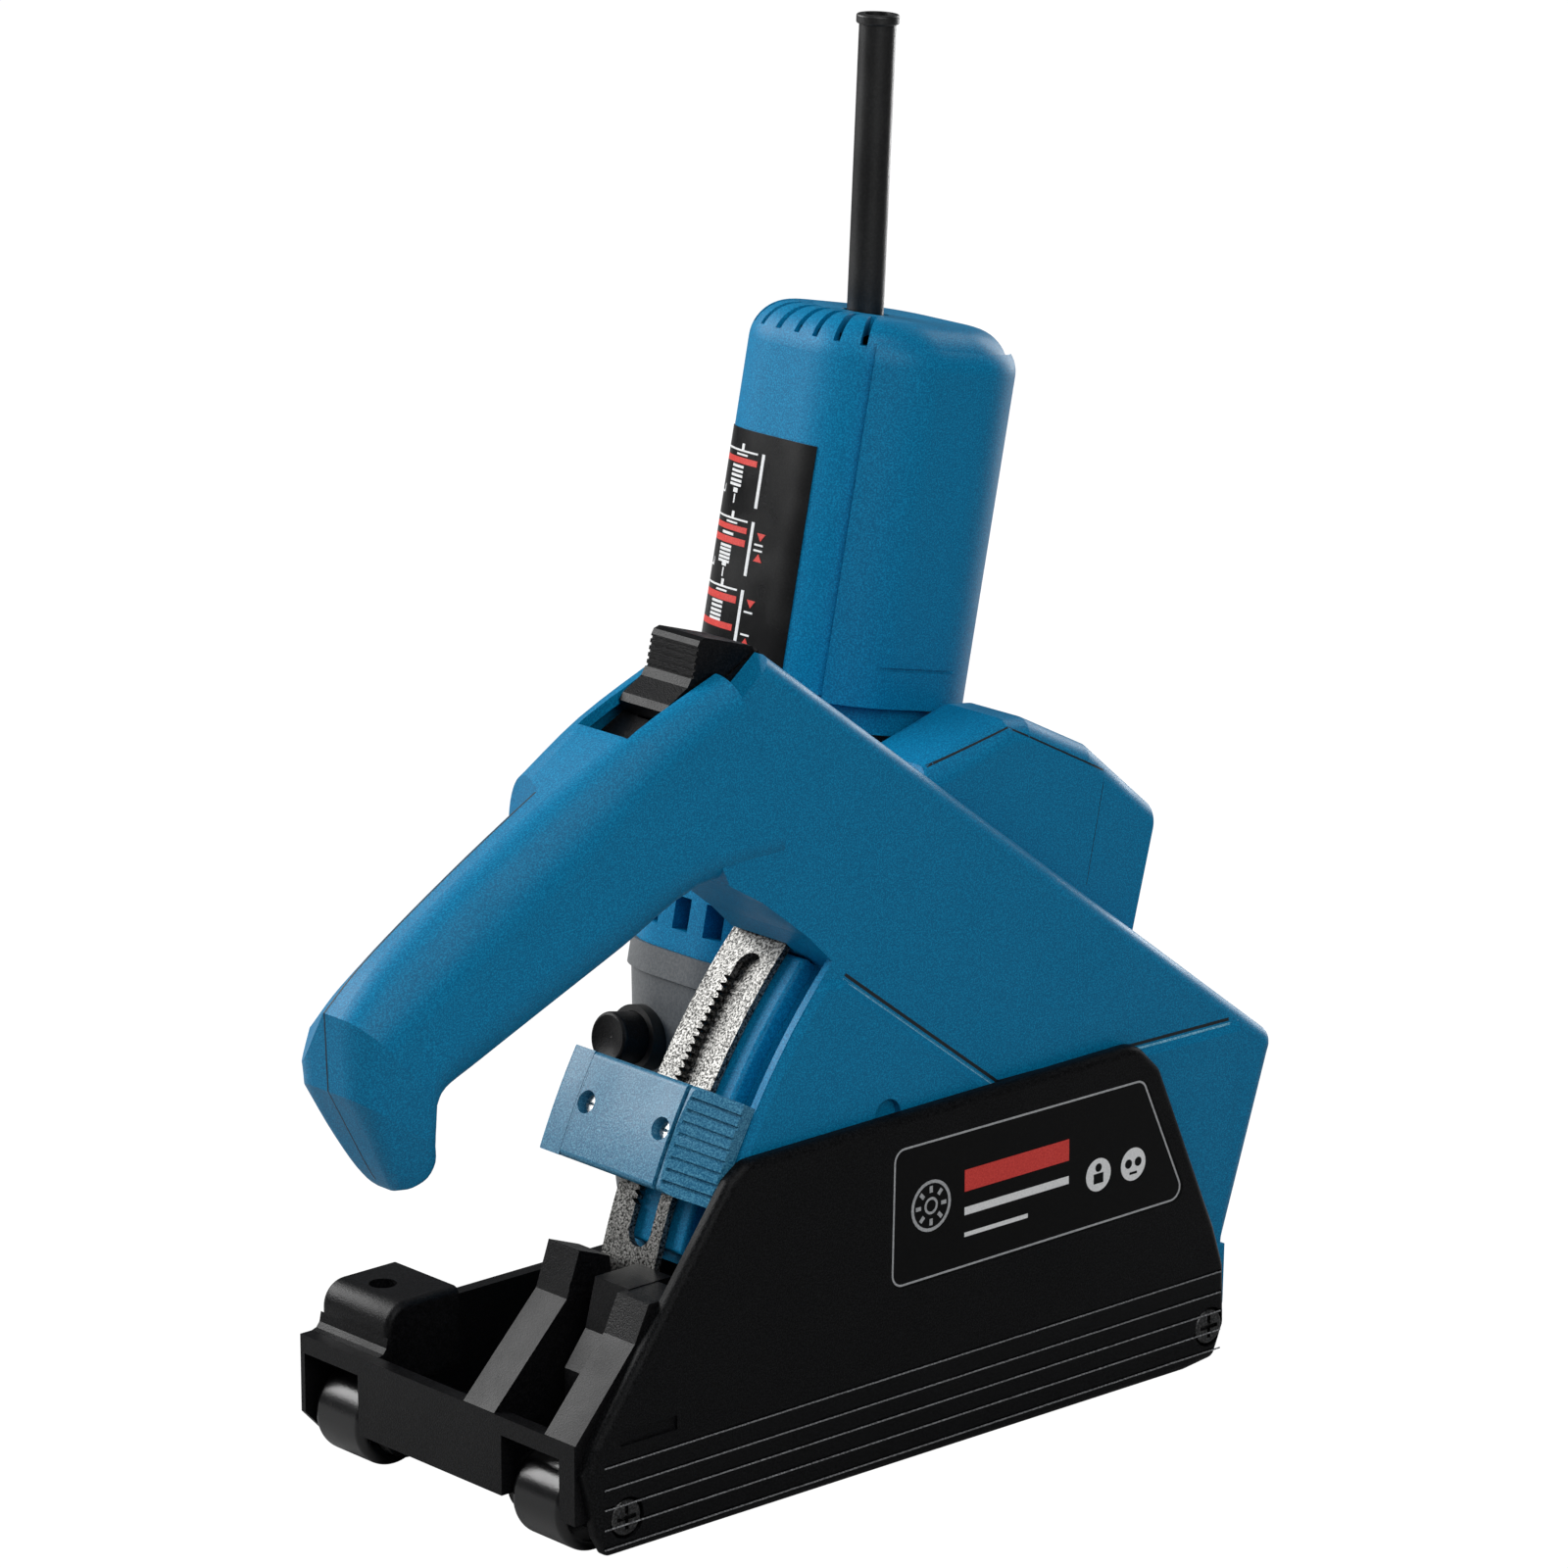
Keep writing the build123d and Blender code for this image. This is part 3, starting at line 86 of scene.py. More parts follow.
def blend_colors(tree, fac, dark, light):
    mix = tree.nodes.new("ShaderNodeMix")
    mix.data_type = "RGBA"
    tree.links.new(fac, mix.inputs["Factor"])
    mix.inputs[6].default_value = (*dark, 1)
    mix.inputs[7].default_value = (*light, 1)
    return mix.outputs[2]


BROAD_PATCH, ROUGH_SPREAD = 22.0, 0.08


def surface(name, dark, light, rough, grain_mm=0.5, bump=0.25, depth_mm=0.12, metallic=0.0,
            specular=0.5, stretch=(1, 1, 1), speck=(0.42, 0.68)):
    """Grained surface: two colours mixed by fine and broad noise, with bump and varied roughness."""
    mat, tree, shader = new_material(name)
    coord = tree.nodes.new("ShaderNodeTexCoord")
    scale = tree.nodes.new("ShaderNodeMapping")
    scale.inputs["Scale"].default_value = stretch
    tree.links.new(coord.outputs["Object"], scale.inputs["Vector"])
    fine = noise(tree, scale.outputs["Vector"], grain_mm)
    broad = noise(tree, coord.outputs["Object"], BROAD_PATCH, 3.0)
    mask = spread(tree, fine, *speck, 0, 1)
    shaded = blend_colors(tree, mask, dark, light)
    tint = tree.nodes.new("ShaderNodeMix")
    tint.data_type = "RGBA"
    tint.blend_type = "MULTIPLY"
    tree.links.new(spread(tree, broad, 0.3, 0.75, 0.0, 0.14), tint.inputs["Factor"])
    tree.links.new(shaded, tint.inputs[6])
    tint.inputs[7].default_value = (0.72, 0.74, 0.76, 1)
    tree.links.new(tint.outputs[2], shader.inputs["Base Color"])
    varied = spread(tree, broad, 0.3, 0.7, rough - ROUGH_SPREAD, rough + ROUGH_SPREAD)
    tree.links.new(varied, shader.inputs["Roughness"])
    shader.inputs["Metallic"].default_value = metallic
    shader.inputs["Specular IOR Level"].default_value = specular
    node = tree.nodes.new("ShaderNodeBump")
    node.inputs["Strength"].default_value = bump
    node.inputs["Distance"].default_value = depth_mm * MM
    tree.links.new(fine, node.inputs["Height"])
    tree.links.new(node.outputs["Normal"], shader.inputs["Normal"])
    return mat


BLUE = surface("blue_plastic", (0.0012, 0.14, 0.30), (0.004, 0.27, 0.52), 0.46, 0.42, 0.3, specular=0.16)
STOP_BLUE = surface("stop_blue_plastic", (0.006, 0.11, 0.22), (0.08, 0.30, 0.45), 0.40, 0.45, 0.4)
BLACK = surface("black_plastic", (0.0006, 0.0006, 0.0009), (0.009, 0.009, 0.0098), 0.40, 0.45, 0.7,
                specular=0.17)
COVER = surface("cover_plastic", (0.0004, 0.0004, 0.0006), (0.013, 0.0135, 0.0145), 0.44, 0.42, 0.9,
                specular=0.10, speck=(0.40, 0.72))
ROLLER = surface("roller_plastic", (0.002, 0.002, 0.0022), (0.006, 0.006, 0.0065), 0.22, 0.6, 0.22)
RUBBER = surface("black_rubber", (0.004, 0.004, 0.0042), (0.011, 0.011, 0.011), 0.42, 0.7, 0.3)
PLATE = surface("plate_black", (0.0012, 0.0012, 0.0014), (0.003, 0.003, 0.003), 0.32, 0.6, 0.1, specular=0.12)
LABEL = surface("label_black", (0.003, 0.003, 0.0033), (0.007, 0.007, 0.0073), 0.30, 0.6, 0.15, specular=0.3)
STEEL = surface("bright_steel", (0.012, 0.012, 0.011), (0.34, 0.335, 0.32), 0.42, 0.6, 0.9, metallic=0.85,
                speck=(0.38, 0.68))
BRUSHED = surface("brushed_steel", (0.42, 0.42, 0.41), (0.72, 0.71, 0.69), 0.28, 0.5, 0.3, metallic=1.0,
                  stretch=(1, 0.12, 1), speck=(0.3, 0.7))
DARK_STEEL = surface("dark_steel", (0.05, 0.05, 0.05), (0.14, 0.14, 0.14), 0.34, 0.5, 0.3, metallic=1.0)
CAST = surface("grey_casting", (0.105, 0.112, 0.118), (0.165, 0.172, 0.178), 0.46, 0.7, 0.3, specular=0.4,
               speck=(0.35, 0.75))
COPPER = surface("copper", (0.42, 0.17, 0.07), (0.72, 0.34, 0.16), 0.34, 0.8, 0.3, metallic=1.0,
                 stretch=(1, 1, 0.2))
LAMINATED = surface("laminated_core", (0.11, 0.11, 0.12), (0.22, 0.22, 0.23), 0.42, 0.5, 0.5, metallic=0.8,
                    stretch=(0.1, 0.1, 1))
BRASS = surface("brass", (0.52, 0.36, 0.13), (0.75, 0.55, 0.25), 0.3, 0.6, 0.25, metallic=1.0)
CARBON = surface("carbon", (0.006, 0.006, 0.006), (0.02, 0.02, 0.02), 0.5, 0.5, 0.3)
MODULE = surface("potted_module", (0.02, 0.02, 0.02), (0.05, 0.05, 0.05), 0.5, 0.9, 0.3)
WHITE_INK = surface("white_ink", (0.72, 0.73, 0.73), (0.9, 0.9, 0.9), 0.42, 0.5, 0.1, speck=(0.3, 0.7))
RED_INK = surface("red_ink", (0.58, 0.022, 0.018), (0.75, 0.06, 0.045), 0.42, 0.5, 0.1, speck=(0.3, 0.7))
SILVER_INK = surface("silver_ink", (0.30, 0.31, 0.32), (0.5, 0.51, 0.52), 0.35, 0.4, 0.2, speck=(0.3, 0.7))
SHADOW_LINE = surface("seam_shadow", (0.0015, 0.006, 0.010), (0.003, 0.012, 0.018), 0.6, 0.5, 0.1)
# painted highlight: pale grey for the light caught by the lower lips of the cover's lap grooves
PAINTED_EDGE_HIGHLIGHT = surface("painted_lap_highlight", (0.09, 0.09, 0.095), (0.42, 0.43, 0.44), 0.3, 0.5, 0.3)
BLUE_LIGHT = surface("lit_blue_edge", (0.06, 0.30, 0.46), (0.30, 0.58, 0.76), 0.35, 0.4, 0.2)
GAP = surface("gap_shadow", (0.0006, 0.0008, 0.001), (0.0015, 0.002, 0.0025), 0.8, 0.5, 0.1, specular=0.1)


RIM_START = 50.0


def disc_material():
    """Steel disc whose outer ring is grey-brown abrasive with coarse grit."""
    mat, tree, shader = new_material("diamond_disc")
    coord = tree.nodes.new("ShaderNodeTexCoord")
    local = tree.nodes.new("ShaderNodeVectorMath")
    local.operation = "SUBTRACT"
    tree.links.new(coord.outputs["Object"], local.inputs[0])
    local.inputs[1].default_value = (SPINDLE.x, 0, SPINDLE.z)
    flat = tree.nodes.new("ShaderNodeVectorMath")
    flat.operation = "MULTIPLY"
    flat.inputs[1].default_value = (1, 0, 1)
    tree.links.new(local.outputs[0], flat.inputs[0])
    length = tree.nodes.new("ShaderNodeVectorMath")
    length.operation = "LENGTH"
    tree.links.new(flat.outputs[0], length.inputs[0])
    rim = spread(tree, length.outputs["Value"], (RIM_START - 0.1) * MM, (RIM_START + 0.2) * MM, 0, 1)
    polish = noise(tree, coord.outputs["Object"], 0.8)
    steel = blend_colors(tree, polish, (0.30, 0.30, 0.30), (0.5, 0.5, 0.49))
    grains = noise(tree, coord.outputs["Object"], 0.35)
    grit = blend_colors(tree, grains, (0.05, 0.045, 0.04), (0.26, 0.24, 0.2))
    mix = tree.nodes.new("ShaderNodeMix")
    mix.data_type = "RGBA"
    tree.links.new(rim, mix.inputs["Factor"])
    tree.links.new(steel, mix.inputs[6])
    tree.links.new(grit, mix.inputs[7])
    tree.links.new(mix.outputs[2], shader.inputs["Base Color"])
    tree.links.new(spread(tree, rim, 0, 1, 0.3, 0.75), shader.inputs["Roughness"])
    shader.inputs["Metallic"].default_value = 0.9
    return mat


DISC = disc_material()

FINISH = {
    "base_frame": BLACK, "side_cover": COVER, "nameplate": PLATE, "front_axle": BRUSHED, "rear_axle": BRUSHED,
    "axle_screws": DARK_STEEL, "return_spring": BRUSHED,
    "front_roller_right": ROLLER, "front_roller_left": ROLLER,
    "rear_roller_right": ROLLER, "rear_roller_left": ROLLER, "depth_rail": STEEL, "rail_rivet": STEEL,
    "stop_block": STOP_BLUE, "stop_button": STOP_BLUE, "stop_end_cap": STOP_BLUE, "stop_pins": BRUSHED,
    "hood_shell_right": BLUE, "hood_shell_left": BLUE, "hood_screws": DARK_STEEL, "dust_collar": BLUE,
    "rail_guide": BLUE, "depth_scale": STEEL, "switch_track": BLACK, "switch_knob": BLACK,
    "switch_module": MODULE, "electronics_module": MODULE, "gear_housing": CAST, "bearing_flange": CAST,
    "flange_screws": DARK_STEEL, "lock_button": BLACK, "lock_boot": RUBBER, "motor_housing": BLUE,
    "motor_panel_right": BLUE, "motor_panel_left": BLUE, "cable_sleeve": RUBBER, "cable_clamp": BLACK,
    "width_label": LABEL, "rating_label": LABEL, "spindle": BRUSHED, "locating_flange": DARK_STEEL,
    "disc_inner": DISC, "disc_outer": DISC, "spacer_rings": BRUSHED, "clamp_nut": DARK_STEEL,
    "crown_gear": DARK_STEEL, "pinion": DARK_STEEL, "armature_shaft": BRUSHED, "armature_core": LAMINATED,
    "commutator": COPPER, "armature_windings": COPPER, "fan": BLACK, "field_stator": LAMINATED,
    "field_coils": COPPER, "spindle_bearing": BRUSHED, "armature_bearings": BRUSHED,
    "rear_bearing_plate": BLACK, "brush_holders": BRASS, "carbon_brushes": CARBON,
}
BEVELS = {
    "base_frame": 0.5, "stop_block": 0.35, "stop_end_cap": 0.35, "depth_rail": 0.25, "switch_knob": 0.3,
    "switch_track": 0.4, "gear_housing": 0.6, "rail_guide": 0.4,
}


def finish_node(name, material):
    obj = NODES[name]
    mesh = obj.data
    if mesh.materials:
        for i in range(len(mesh.materials)):
            mesh.materials[i] = material
    else:
        mesh.materials.append(material)
    mesh.polygons.foreach_set("use_smooth", [True] * len(mesh.polygons))
    mesh.set_sharp_from_angle(angle=math.radians(28))
    if name in BEVELS:
        bevel = obj.modifiers.new("edge", "BEVEL")
        bevel.width = BEVELS[name] * MM
        bevel.segments = 2
        bevel.limit_method = "ANGLE"
        bevel.angle_limit = math.radians(40)
        bevel.harden_normals = False


for node_name, node_material in FINISH.items():
    finish_node(node_name, node_material)


# ---- helpers for detail pieces ----
def make_piece(name, verts, faces, material, body, slot_name):
    """Mesh object in the given material that rides on a body."""
    mesh = bpy.data.meshes.new(name)
    mesh.from_pydata([tuple(v) for v in verts], [], faces)
    mesh.validate()
    mesh.update()
    obj = bpy.data.objects.new(name, mesh)
    SCENE.collection.objects.link(obj)
    mesh.materials.append(material)
    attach(obj, body)
    return obj


INK, PRINT = 0.09, 0.05


def extruded(outlines, place, thick):
    """Closed prisms over 2-D outlines; place(u, v, height) gives the 3-D point."""
    verts, faces = [], []
    for outline in outlines:
        start, count = len(verts), len(outline)
        verts += [place(u, v, 0.0) for u, v in outline]
        verts += [place(u, v, thick) for u, v in outline]
        faces.append([start + i for i in range(count)][::-1])
        faces.append([start + count + i for i in range(count)])
        for i in range(count):
            j = (i + 1) % count
            faces.append([start + i, start + j, start + count + j, start + count + i])
    return verts, faces


def rect(u0, u1, v0, v1, steps=1):
    """Rectangle outline whose long sides are divided, so that it can follow a curved surface."""
    low = [(u0 + (u1 - u0) * i / steps, v0) for i in range(steps + 1)]
    high = [(u1 + (u0 - u1) * i / steps, v1) for i in range(steps + 1)]
    return low + high


def strip_grid(u0, u1, v0, v1):
    """Several narrow rectangles in place of one wide one, for wrapping round a label."""
    steps = max(1, int(abs(u1 - u0) / 1.5))
    step = (u1 - u0) / steps
    return [[(u0 + i * step, v0), (u0 + (i + 1) * step, v0), (u0 + (i + 1) * step, v1), (u0 + i * step, v1)]
            for i in range(steps)]


# ---- width label on the motor's front ----
LABEL_HALF, LABEL_CORNER = 31.75, 24.25


def on_label(u, v, height):
    """Point on the rounded motor body: u runs round it from the front centre to the right, v up its axis."""
    flat = LABEL_HALF - LABEL_CORNER
    side = 1 if u >= 0 else -1
    run = abs(u)
    if run <= flat:
        x, y = -(LABEL_HALF + height), -u
    else:
        turn = (run - flat) / LABEL_CORNER
        reach = LABEL_CORNER + height
        x = -(flat + reach * math.cos(turn))
        y = -side * (flat + reach * math.sin(turn))
    return MOTOR_ORIGIN + MOTOR_X * x * MM + Vector((0, y * MM, 0)) + MOTOR_AXIS * v * MM


def width_pictogram(v, reds, bars, dash, ticks, triangles):
    """White and red marks of one spacer arrangement, measured down from its head line at height v."""
    white = strip_grid(-24.0, -6.0, v - 0.25, v + 0.25)
    white += strip_grid(-13.2, -12.0, v + 0.25, v + 1.9) + strip_grid(-15.5, -10.0, v - 1.3, v - 0.8)
    white += strip_grid(-4.3, -3.2, v - 14.0, v + 0.4)
    red = []
    for top, low in reds:
        red += strip_grid(-23.6, -5.8, v - low, v - top)
    for row in bars:
        white += strip_grid(-17.0, -11.0, v - row - 0.7, v - row)
    if dash:
        white += strip_grid(-14.4, -12.2, v - dash + 1.6, v - dash + 0.4)
        white += strip_grid(-13.6, -13.0, v - dash - 2.4, v - dash)
        white += strip_grid(-24.0, -20.5, v - dash - 0.5, v - dash)
        white += strip_grid(-21.0, -20.5, v - dash, v - dash + 1.8)
    for row in ticks:
        white += strip_grid(-2.1, 1.2, v - row - 0.25, v - row + 0.25)
    for row, way in triangles:
        base, tip = v - row - way * 0.9, v - row + way * 1.2
        corners = [(-1.6, base), (1.6, base), (0.0, tip)]
        red.append(corners if way > 0 else corners[::-1])
    return white, red


# head line's height, red rows, white bars, start of the tail, ticks, triangles with the way they point
PICTOGRAMS = [
    (190.3, [(1.8, 3.4)], [3.9, 5.2, 6.4, 7.7, 8.8], 11.6, [], []),
    (172.3, [(1.7, 3.2), (4.9, 6.7)], [3.8, 7.2, 8.2, 9.3, 10.3, 11.3], 13.3, [5.2, 6.7],
     [(3.0, -1), (8.7, 1)]),
    (154.1, [(1.7, 3.6), (9.2, 10.9)], [3.9, 5.1, 6.3, 7.4, 8.5], 0, [5.0, 11.0], [(2.6, -1), (13.0, 1)]),
]
white_marks, red_marks = [], []
for pictogram in PICTOGRAMS:
    white_part, red_part = width_pictogram(*pictogram)
    white_marks += white_part
    red_marks += red_part
make_piece("width_label_white", *extruded(white_marks, on_label, INK), WHITE_INK, "machine", "label")
make_piece("width_label_red", *extruded(red_marks, on_label, INK), RED_INK, "machine", "label")


# ---- nameplate ----
COVER_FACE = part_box("nameplate")[0].y


def on_plate(u, v, height):
    return Vector((u * MM + SHIFT, COVER_FACE - height * MM, v * MM))


def rounded(points, radius, steps=6):
    """Closed outline with its corners rounded."""
    out = []
    count = len(points)
    for i in range(count):
        a, b, c = (Vector(points[(i + k) % count]) for k in (-1, 0, 1))
        before, after = (a - b).normalized(), (c - b).normalized()
        angle = before.angle(after)
        cut = radius / math.tan(angle / 2)
        centre = b + (before + after).normalized() * radius / math.sin(angle / 2)
        p, q = b + before * cut - centre, b + after * cut - centre
        sweep = p.angle_signed(q)
        for k in range(steps + 1):
            t = -sweep * k / steps
            out.append(tuple(centre + Matrix.Rotation(t, 2) @ p))
    return out


def outline_strips(points, width):
    """Quads along a closed outline, half inside and half outside it."""
    count = len(points)
    pairs = []
    for i in range(count):
        a, c = Vector(points[i - 1]), Vector(points[(i + 1) % count])
        side = Vector((-(c - a).y, (c - a).x)).normalized() * width / 2
        p = Vector(points[i])
        pairs.append((tuple(p + side), tuple(p - side)))
    after = pairs[1:] + pairs[:1]
    return [[here[0], here[1], following[1], following[0]] for here, following in zip(pairs, after)]


def circle(x, y, radius, steps=28):
    turns = [2 * math.pi * i / steps for i in range(steps)]
    return [(x + radius * math.cos(t), y + radius * math.sin(t)) for t in turns]


PLATE_FRAME = [(3.3, 51.9), (4.2, 89.2), (94.4, 88.8), (110.6, 52.4)]
WHEEL_X, WHEEL_Z = 17.0, 71.5
BAR_START, BAR_END = 29, 67
LEFT_DISC, RIGHT_DISC, DISC_Z = 78.0, 91.0, 66.0

silver = outline_strips(rounded(PLATE_FRAME, 3.4), 0.55)
silver += outline_strips(circle(WHEEL_X, WHEEL_Z, 6.6), 0.9)
silver += outline_strips(circle(WHEEL_X, WHEEL_Z, 2.0), 0.7)
for k in range(8):
    a = math.pi / 4 * k
    across = Vector((-math.sin(a), math.cos(a))) * 0.55
    inner, outer = (Vector((WHEEL_X + r * math.cos(a), WHEEL_Z + r * math.sin(a))) for r in (3.6, 5.4))
    silver.append([tuple(p) for p in (inner - across, outer - across, outer + across, inner + across)])
red_bar = [rect(BAR_START, BAR_END, 72.5, 78.5)]
white_bars = [rect(BAR_START, BAR_END, 66.0, 68.2), rect(BAR_START, 52, 60.0, 61.2)]
white_bars += [circle(x, DISC_Z, 4.6) for x in (LEFT_DISC, RIGHT_DISC)]
symbols = [rect(LEFT_DISC - 1.8, LEFT_DISC + 1.8, 63.6, 66.4), circle(LEFT_DISC, 68.0, 1.2, 12)]
symbols += [circle(RIGHT_DISC + shift, 66.4, 1.3, 14) for shift in (-1.8, 1.8)]
symbols.append(rect(RIGHT_DISC - 1.4, RIGHT_DISC + 1.4, 63.2, 63.9))
make_piece("nameplate_silver", *extruded(silver, on_plate, PRINT), SILVER_INK, "base", "nameplate")
make_piece("nameplate_red", *extruded(red_bar, on_plate, PRINT), RED_INK, "base", "nameplate")
make_piece("nameplate_white", *extruded(white_bars, on_plate, PRINT), WHITE_INK, "base", "nameplate")
make_piece("nameplate_symbols", *extruded(symbols, on_plate, INK), PLATE, "base", "nameplate")


# ---- painted highlights along the lower lips of the cover's lap grooves ----
COVER_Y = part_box("side_cover")[0].y
LAP_HEIGHTS = (27.7, 21.8, 16.4, 11.0, 5.7)
LAP_START, LAP_END = -95.3, 125.3


def on_cover(u, v, height):
    return Vector((u * MM + SHIFT, COVER_Y + height * MM, v * MM))


# thin pale strips under each lap line: a painted highlight on the lit lower lip of each groove
lips = [rect(LAP_START, LAP_END, z - 0.45, z - 0.12, 8) for z in LAP_HEIGHTS]
make_piece("cover_lap_lips", *extruded(lips, on_cover, 0.3), PAINTED_EDGE_HIGHLIGHT, "base", "base_black")


# ---- seams ----
SIDEWAYS = Vector((0, 1, 0))
LIFT, SINK = 0.04, 0.1


def first_hit(origin, direction, targets):
    """Where a ray first meets any of the nodes, or None."""
    near = None
    for target in targets:
        inverse = target.matrix_world.inverted()
        hit, where, _, _ = target.ray_cast(inverse @ origin, inverse.to_3x3() @ direction)
        where = target.matrix_world @ where
        if hit and (near is None or (where - origin).length < (near - origin).length):
            near = where
    return near


def drape(name, starts, ways, across, half, nodes, material, body, slot_name):
    """Fine line laid on the surface that rays from the start points meet first."""
    targets = [NODES[n] for n in nodes]
    verts, faces = [], []
    for start, direction in zip(starts, ways):
        pair = [first_hit(start + across * side * MM, direction, targets) for side in (-half, half)]
        if None in pair:
            continue
        verts += [p - direction * LIFT * MM for p in pair] + [p + direction * SINK * MM for p in pair]
    for i in range(len(verts) // 4 - 1):
        a, b = 4 * i, 4 * i + 4
        for p, q in ((0, 1), (1, 3), (3, 2), (2, 0)):
            faces.append([a + p, a + q, b + q, b + p])
    last = len(verts) - 4
    faces += [[0, 2, 3, 1], [last, last + 1, last + 3, last + 2]]
    return make_piece(name, verts, faces, material, body, slot_name)


def divided(points, step_mm=2.0):
    """Evenly divided line through (x, z) points."""
    out = []
    for (x0, z0), (x1, z1) in zip(points, points[1:]):
        count = max(1, int(math.hypot(x1 - x0, z1 - z0) / step_mm))
        out += [(x0 + (x1 - x0) * i / count, z0 + (z1 - z0) * i / count) for i in range(count)]
    return [*out, points[-1]]


def beside(line, y):
    """Points of an (x, z) line, set off to the machine's right at y."""
    return [Vector((x * MM + SHIFT, y * MM, z * MM)) for x, z in line]


SEAM_Y = -35.0
GRIP_TOP = [(-97.0, 200.4), (-106.0, 195.4), (-120.0, 187.6), (-141.0, 175.0), (-154.5, 166.0),
            (-164.6, 157.4), (-163.8, 137.2), (-157.6, 125.6), (-152.2, 115.6), (-148.8, 110.4)]
GRIP_CORE = [(-87.0, 179.0), (-97.0, 174.5), (-112.0, 167.0), (-133.0, 156.0), (-145.0, 149.0),
             (-151.0, 143.0), (-150.0, 128.0), (-148.0, 120.0), (-145.0, 113.0), (-144.0, 109.0)]
SEAM_STEPS = 6
CLEAR_START = 8
seam_starts, seam_ways = [], []
for k in range(len(GRIP_TOP) - 1):
    for i in range(SEAM_STEPS):
        t = i / SEAM_STEPS
        top = Vector(GRIP_TOP[k]).lerp(Vector(GRIP_TOP[k + 1]), t)
        core = Vector(GRIP_CORE[k]).lerp(Vector(GRIP_CORE[k + 1]), t)
        inward = Vector((core.x - top.x, 0, core.y - top.y)).normalized()
        on_seam = Vector((top.x * MM + SHIFT, SEAM_Y * MM, top.y * MM))
        seam_starts.append(on_seam - inward * CLEAR_START * MM)
        seam_ways.append(inward)
drape("grip_seam", seam_starts, seam_ways, SIDEWAYS, 0.22, ("hood_shell_right", "hood_shell_left"),
      SHADOW_LINE, "machine", "shell_blue")

DUCT_LINE = divided([(27.6, 184.0), (56.6, 190.4), (91.0, 172.6), (84.4, 142.5)])
drape("duct_seam", beside(DUCT_LINE, -60), [SIDEWAYS] * len(DUCT_LINE), Vector((0.5, 0, 0.866)), 0.25,
      ("hood_shell_right", "dust_collar"), SHADOW_LINE, "machine", "shell_blue")

# The crease lines are painted light and shade: a pale line is the painted highlight on the chamfer's convex
# lower edge, and a dark line is the painted shade in its concave upper edge.
CREASE_CORNER = (45.4, 96.9)
CREASES = (
    ([(-9.2, 137.9), CREASE_CORNER], Vector((0.6, 0, 0.8))),
    ([CREASE_CORNER, (136.0, 95.7)], Vector((0, 0, 1))),
)
for k, (ends, across) in enumerate(CREASES):
    for label, rise, half, material in (("light", -0.4, 0.28, BLUE_LIGHT), ("shade", 0.9, 0.45, SHADOW_LINE)):
        line = [(x + across.x * rise, z + across.z * rise) for x, z in divided(ends, 4.0)]
        drape(f"crease_{label}_{k}", beside(line, -62), [SIDEWAYS] * len(line), across, half,
              ("hood_shell_right",), material, "machine", "shell_blue")

STOP_FIRST_ANGLE, STOP_STEP, STOP_RAY_R = 22.9, 0.66, 215
stop_starts, stop_ways = [], []
for k in range(13):
    angle = math.radians(STOP_FIRST_ANGLE + STOP_STEP * k)
    outward = Vector((-math.cos(angle), 0, math.sin(angle)))
    stop_starts.append(PIVOT + outward * STOP_RAY_R * MM + Vector((0, -PIVOT.y, 0)))
    stop_ways.append(-outward)
drape("stop_cap_gap", stop_starts, stop_ways, SIDEWAYS, 0.55, ("stop_block", "stop_end_cap"),
      GAP, "depth_stop", "stop_blue")


# ---- camera, floor and lights ----
TARGET = Vector((-24.8, -46.6, 191.2)) * MM + Vector((SHIFT, 0, 0))
BACK = Vector((-0.6438, -0.7151, 0.2723)).normalized()
camera_data = bpy.data.cameras.new("camera")
camera_data.lens = 163.35
camera_data.sensor_width = 36.0
camera = bpy.data.objects.new("camera", camera_data)
SCENE.collection.objects.link(camera)
camera.location = TARGET + BACK * 1.8
camera.rotation_mode = "QUATERNION"
camera.rotation_quaternion = BACK.to_track_quat("Z", "Y")
SCENE.camera = camera


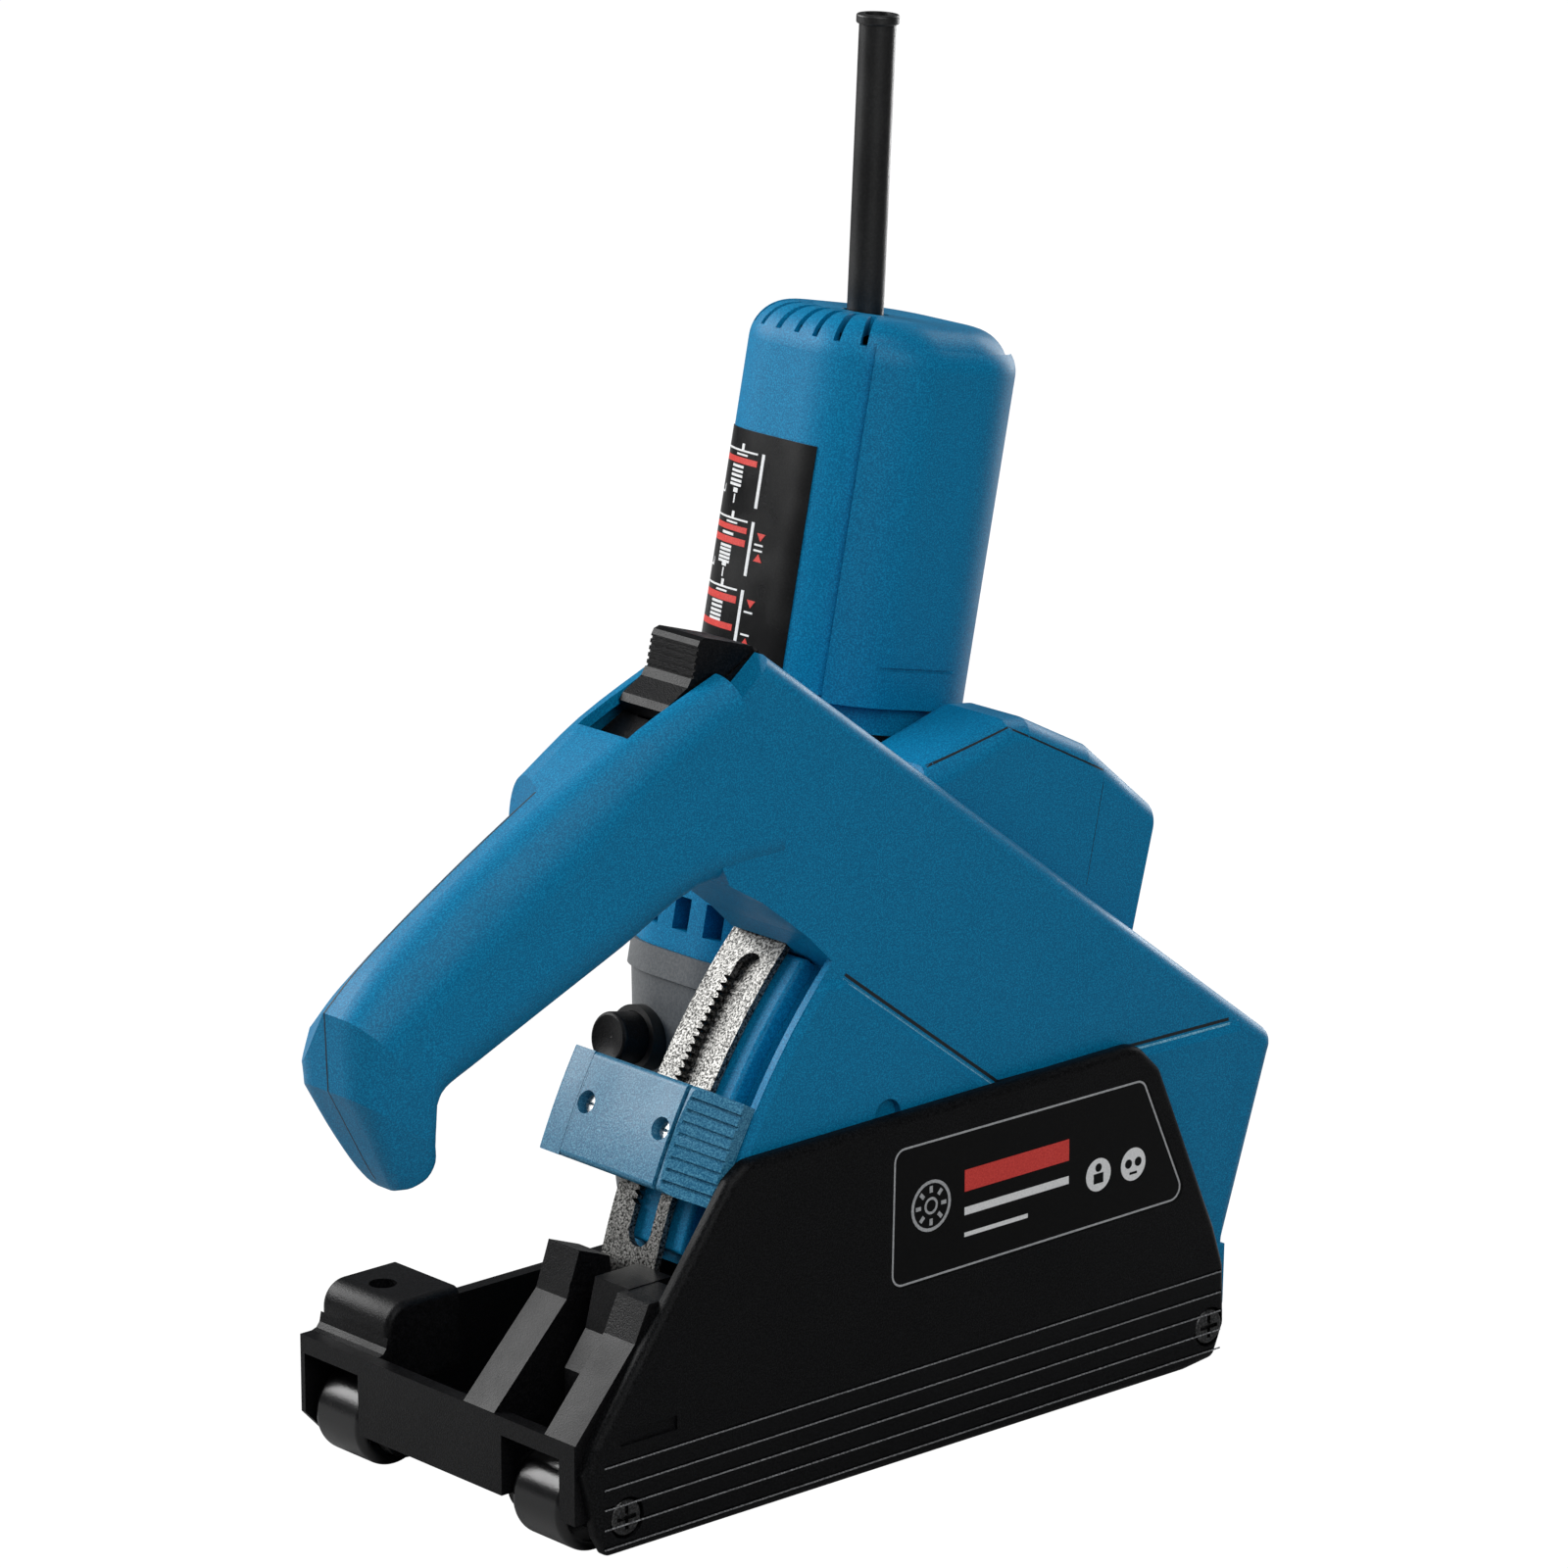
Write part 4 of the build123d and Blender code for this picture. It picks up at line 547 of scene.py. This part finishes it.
def area_light(name, direction, distance, size, power, color=(1, 1, 1)):
    data = bpy.data.lights.new(name, "AREA")
    data.shape = "RECTANGLE"
    data.size, data.size_y = size
    data.energy = power
    data.color = color
    lamp = bpy.data.objects.new(name, data)
    SCENE.collection.objects.link(lamp)
    centre = Vector((0.0, 0.0, 0.15))
    way = Vector(direction).normalized()
    lamp.location = centre + way * distance
    lamp.rotation_mode = "QUATERNION"
    lamp.rotation_quaternion = way.to_track_quat("Z", "Y")


area_light("left_box", (-0.40, 0.78, 0.50), 1.3, (1.1, 0.7), 20)
area_light("front_fill", (-0.30, -0.85, 0.62), 1.8, (1.2, 1.2), 13)
area_light("top_box", (-0.25, -0.35, 1.0), 1.6, (0.8, 0.8), 6)
area_light("rear_strip", (0.95, 0.20, 0.20), 1.5, (0.5, 0.9), 12)

world = bpy.data.worlds.new("studio")
world.use_nodes = True
world.node_tree.nodes["Background"].inputs["Color"].default_value = (0.85, 0.88, 0.92, 1)
world.node_tree.nodes["Background"].inputs["Strength"].default_value = 0.12
SCENE.world = world
SCENE.view_settings.view_transform = "Standard"

floor_material, floor_tree, floor_shader = new_material("floor")
floor_shader.inputs["Base Color"].default_value = (0.4, 0.4, 0.4, 1)
floor_shader.inputs["Roughness"].default_value = 0.7
floor_mesh = bpy.data.meshes.new("floor")
floor_mesh.from_pydata([(-15, -15, 0), (15, -15, 0), (15, 15, 0), (-15, 15, 0)], [], [[0, 1, 2, 3]])
floor_mesh.materials.append(floor_material)
floor = bpy.data.objects.new("floor", floor_mesh)
SCENE.collection.objects.link(floor)
light_path = floor_tree.nodes.new("ShaderNodeLightPath")
glow = floor_tree.nodes.new("ShaderNodeEmission")
glow.inputs["Color"].default_value = (1, 1, 1, 1)
glow.inputs["Strength"].default_value = 1.1
share = floor_tree.nodes.new("ShaderNodeMath")
share.operation = "MULTIPLY"
share.inputs[1].default_value = 0.93
mixer = floor_tree.nodes.new("ShaderNodeMixShader")
floor_tree.links.new(light_path.outputs["Is Camera Ray"], share.inputs[0])
floor_tree.links.new(share.outputs[0], mixer.inputs["Fac"])
floor_tree.links.new(floor_shader.outputs["BSDF"], mixer.inputs[1])
floor_tree.links.new(glow.outputs["Emission"], mixer.inputs[2])
floor_tree.links.new(mixer.outputs["Shader"], floor_tree.nodes["Material Output"].inputs["Surface"])
